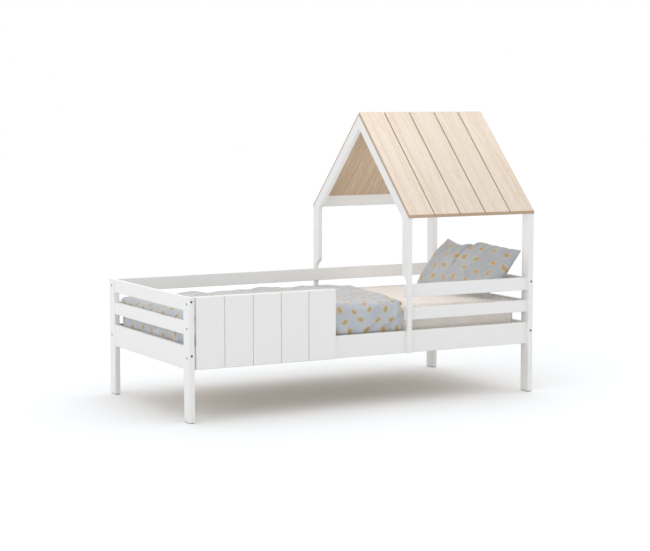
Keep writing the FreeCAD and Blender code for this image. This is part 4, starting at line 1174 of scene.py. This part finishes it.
def creases_on(case, creases):
    """How far the front skin stands in or out, in metres.

    Across a crease the height is a bell, and its half width grows to one and a half along it.
    Along it the height fades out in a smooth step towards the end.
    """
    total = np.zeros(case.shape[:2])
    for *ends, width, height in creases:
        start, finish = np.array(ends[:2]) / 1000, np.array(ends[2:]) / 1000
        length = np.linalg.norm(finish - start)
        heading = (finish - start) / length
        along = (case - start) @ heading
        side = (case - start) @ np.array([-heading[1], heading[0]])
        spread = width / 1000 * (1 + 0.5 * np.clip(along / length, 0, 1))
        total += height / 1000 * np.exp(-((side / spread) ** 2)) * (1 - ease(along / length, 0.45, 1.1))
    return total


front, back, case, fall = pillow_skins()
pillow = two_skins("pillow_body", front, back, case)
pillow.data.materials.append(pillow_cotton)
print("pillow volume", round(face_outwards(pillow), 4), "m3")
swell(pillow, pressure=2.0, extra_cloth=0.05, limit=0.005)
skin = points_of(pillow.data)
count = fall.size
depth = creases_on(case, PILLOW_CREASES) * np.minimum(1, fall * 2.2)
skin[:count] += depth.reshape(-1, 1) * PILLOW_FRONT
put_points(pillow, skin)
soften(pillow)
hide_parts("pillow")
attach(pillow, "pillow")

# %% [markdown]
# ## Wood screws
# Boards, slats and bearers are held by small countersunk wood screws. Only their heads show: a
# shallow saucer with a cross recess. A head is a turned profile whose inner rings are pulled into
# a cross; it has under two hundred triangles, because there are over a hundred heads.


# %% Screw heads
def screw_head(radius):
    """Points and faces of one head that faces +Z, its rim in the plane z = 0.

    Rings go out from the recess's floor to the rim and back down the cone. Each is given by its
    radius, its height and its share of cross, as parts of the head's radius. On the recess's rings
    the radius swings with the cosine of four times the angle, which makes the cross.
    """
    around = 16
    angle = np.arange(around) * 2 * math.pi / around
    recess, cone = -0.45, -0.6
    rings = ((0.22, recess, 0.5), (0.30, 0.02, 0.5), (0.55, 0.05, 0), (0.93, 0.03, 0), (1.0, -0.04, 0),
             (0.55, cone, 0))
    points = [np.array([[0.0, 0.0, recess * radius]])]
    for out, height, cross in rings:
        size = radius * out * (1 + cross * np.cos(4 * angle))
        level = np.full(around, height * radius)
        points.append(np.stack([size * np.cos(angle), size * np.sin(angle), level], axis=1))
    points.append(np.array([[0.0, 0.0, cone * radius]]))
    step = np.arange(around)
    after = (step + 1) % around
    first, last = 1, 1 + (len(rings) - 1) * around
    fans = [np.stack([np.zeros(around, int), first + step, first + after], axis=1)]
    fans.append(np.stack([np.full(around, last + around), last + after, last + step], axis=1))
    for ring in range(len(rings) - 1):
        low, high = 1 + ring * around, 1 + (ring + 1) * around
        fans.append(np.stack([low + step, high + step, high + after], axis=1))
        fans.append(np.stack([low + step, high + after, low + after], axis=1))
    return np.concatenate(points), np.concatenate(fans)


SCREW_RADIUS, ROOF_SCREW_RADIUS, SCREW_PROUD = 0.0032, 0.0018, 0.00015


def screw_row(name, places, facing, radius=SCREW_RADIUS, turn_seed=3):
    """Equal heads at places, all facing one way, each stopped at its own chance angle."""
    places = np.asarray(places, float)
    facing = np.asarray(facing, float) / np.linalg.norm(facing)
    sideways = np.cross(facing, (0.0, 0.0, 1.0) if abs(facing[2]) < 0.9 else (1.0, 0.0, 0.0))
    sideways /= np.linalg.norm(sideways)
    other = np.cross(facing, sideways)
    points, faces = screw_head(radius)
    turns = np.random.default_rng(turn_seed).random(len(places)) * math.pi
    cos, sin = np.cos(turns)[:, None], np.sin(turns)[:, None]
    x = cos * points[:, 0] - sin * points[:, 1]
    y = sin * points[:, 0] + cos * points[:, 1]
    shift = (points[:, 2] + SCREW_PROUD)[None, :, None] * facing
    whole = places[:, None, :] + x[..., None] * sideways + y[..., None] * other + shift
    numbers = faces[None] + (np.arange(len(places)) * len(points))[:, None, None]
    piece = mesh_piece(name, whole.reshape(-1, 3), numbers.reshape(-1, 3))
    piece.data.materials.append(zinc_steel)
    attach(piece, "frame")
    return piece


# %% Where the wood screws are
RIDGE_HEIGHT = float(cad_high.z)
BOARDS = 5  # on each slope of the roof, and in the fence
BEAM_MIDDLE_FROM_FACE, SCREW_FROM_RIDGE, ROOF_SCREW_INSET = 0.010, 0.007, 0.025
FENCE_SCREW_INSET, SLAT_SCREW_INSET = 0.03, 0.011
BEARER_SCREWS, BEARER_SCREW_INSET = 7, 0.06
beam_out = max(abs(corner.y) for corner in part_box("eave_beam_near")) - BEAM_MIDDLE_FROM_FACE
roof_screws = 0
for side, sign in SLOPES.items():
    places = []
    for number in range(1, BOARDS + 1):
        low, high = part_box(f"roof_board_{side}_{number}")
        for out in (SCREW_FROM_RIDGE, beam_out):
            for x in (low.x + ROOF_SCREW_INSET, high.x - ROOF_SCREW_INSET):
                places.append((x, sign * out, RIDGE_HEIGHT - out))
    screw_row(f"roof_screws_{side}", places, (0, sign, 1), ROOF_SCREW_RADIUS, 3 + sign)
    roof_screws += len(places)

places = []
for number in range(1, BOARDS + 1):
    low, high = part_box(f"fence_board_{number}")
    for rail in ("fence_rail_top", "fence_rail_mid", "near_rail_bottom"):
        rail_low, rail_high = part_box(rail)
        for x in (low.x + FENCE_SCREW_INSET, high.x - FENCE_SCREW_INSET):
            places.append((x, rail_high.y, (rail_low.z + rail_high.z) / 2))
screw_row("fence_screws", places, (0, 1, 0), turn_seed=12)
print(roof_screws, "roof screws,", len(places), "fence screws")

slats_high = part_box("slats")[1]
SLAT_COUNT = 13
slat_middles = (np.arange(SLAT_COUNT) - (SLAT_COUNT - 1) / 2) * SLAT_PITCH
screw_y = slats_high.y - SLAT_SCREW_INSET
places = [(x, sign * screw_y, slats_high.z) for x in slat_middles for sign in (-1, 1)]
screw_row("slat_screws", places, (0, 0, 1), turn_seed=9)
for side, sign in SLOPES.items():
    low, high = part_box(f"slat_bearer_{side}")
    inner_y = high.y if sign < 0 else low.y
    first, last = low.x + BEARER_SCREW_INSET, high.x - BEARER_SCREW_INSET
    places = [(x, inner_y, (low.z + high.z) / 2) for x in np.linspace(first, last, BEARER_SCREWS)]
    screw_row(f"bearer_screws_{side}", places, (0, -sign, 0), turn_seed=15 + sign)

# %% [markdown]
# ## Floor and light
# The photograph is a plain white studio with very soft light, most of it from above, and a faint
# shadow on the floor. The floor is a pale matt plane that only the camera sees a little brighter,
# so that it runs out into white while the shadow stays. A broad sun overhead is the ceiling's
# soft boxes, a weak one from the left is the window side, and the world is the white room. A small
# cool lamp under the roof stands for the light that the sheet and the walls throw back up there.

# %% Floor, world and lamp
ROOM_LIGHT = 0.635
CEILING_LIGHT = 1.40
WINDOW_LIGHT = 0.66
FILL_LIGHT = 2.2
FILL_PLACE, FILL_COOL, FILL_SIZE = (0.42, -0.10, 0.74), (0.90, 0.95, 1.0), 0.28
FLOOR_REACH, FLOOR_GREY, FLOOR_LIFT = 30.0, (0.835, 0.85, 0.865, 1), 0.09
WHITE = (1, 1, 1, 1)

corners = np.array([[-1, -1, 0], [1, -1, 0], [1, 1, 0], [-1, 1, 0]]) * FLOOR_REACH
floor = mesh_piece("studio_floor", corners, np.array([[0, 1, 2, 3]]))
material, tree, shader = new_material("studio_floor")
tree.nodes.remove(shader)
path = tree.nodes.new("ShaderNodeLightPath").outputs
matt = add(tree, "ShaderNodeBsdfDiffuse", {"Color": FLOOR_GREY}).outputs[0]
lift = calc(tree, "MULTIPLY", path["Is Camera Ray"], FLOOR_LIFT)
glow = add(tree, "ShaderNodeEmission", {"Color": WHITE, "Strength": lift}).outputs[0]
both = add(tree, "ShaderNodeAddShader", {0: matt, 1: glow}).outputs[0]
tree.links.new(both, tree.nodes["Material Output"].inputs["Surface"])
floor.data.materials.append(material)

world = bpy.data.worlds.new("white_room")
world.use_nodes = True
bpy.context.scene.world = world
tree = world.node_tree
path = tree.nodes.new("ShaderNodeLightPath").outputs
mirrored = calc(tree, "MAXIMUM", path["Is Glossy Ray"], path["Is Transmission Ray"])
seen = calc(tree, "MAXIMUM", path["Is Camera Ray"], mirrored)
strength = calc(tree, "MULTIPLY_ADD", seen, 1 - ROOM_LIGHT, ROOM_LIGHT)
feed(tree, tree.nodes["Background"].inputs["Strength"], strength)
tree.nodes["Background"].inputs["Color"].default_value = WHITE


def broad_sun(name, energy, wide, to_light):
    """A sun as broad as a window or a ceiling: an angle in degrees and the way to it."""
    lamp = bpy.data.lights.new(name, "SUN")
    lamp.energy = energy
    lamp.angle = math.radians(wide)
    placed = bpy.data.objects.new(name, lamp)
    placed.rotation_euler = Vector(to_light).to_track_quat("Z", "Y").to_euler()
    bpy.context.scene.collection.objects.link(placed)


broad_sun("ceiling", CEILING_LIGHT, 110, (0.28, 0.16, 0.94))
broad_sun("window_side", WINDOW_LIGHT, 60, (-0.84, -0.36, 0.30))

fill = bpy.data.lights.new("roof_fill", "POINT")
fill.energy = FILL_LIGHT
fill.color = FILL_COOL
fill.shadow_soft_size = FILL_SIZE
fill_lamp = bpy.data.objects.new("roof_fill", fill)
fill_lamp.location = FILL_PLACE
fill_lamp.visible_camera = False
fill_lamp.visible_glossy = False
bpy.context.scene.collection.objects.link(fill_lamp)
print("room", ROOM_LIGHT, "ceiling", CEILING_LIGHT, "window", WINDOW_LIGHT, "fill", FILL_LIGHT)
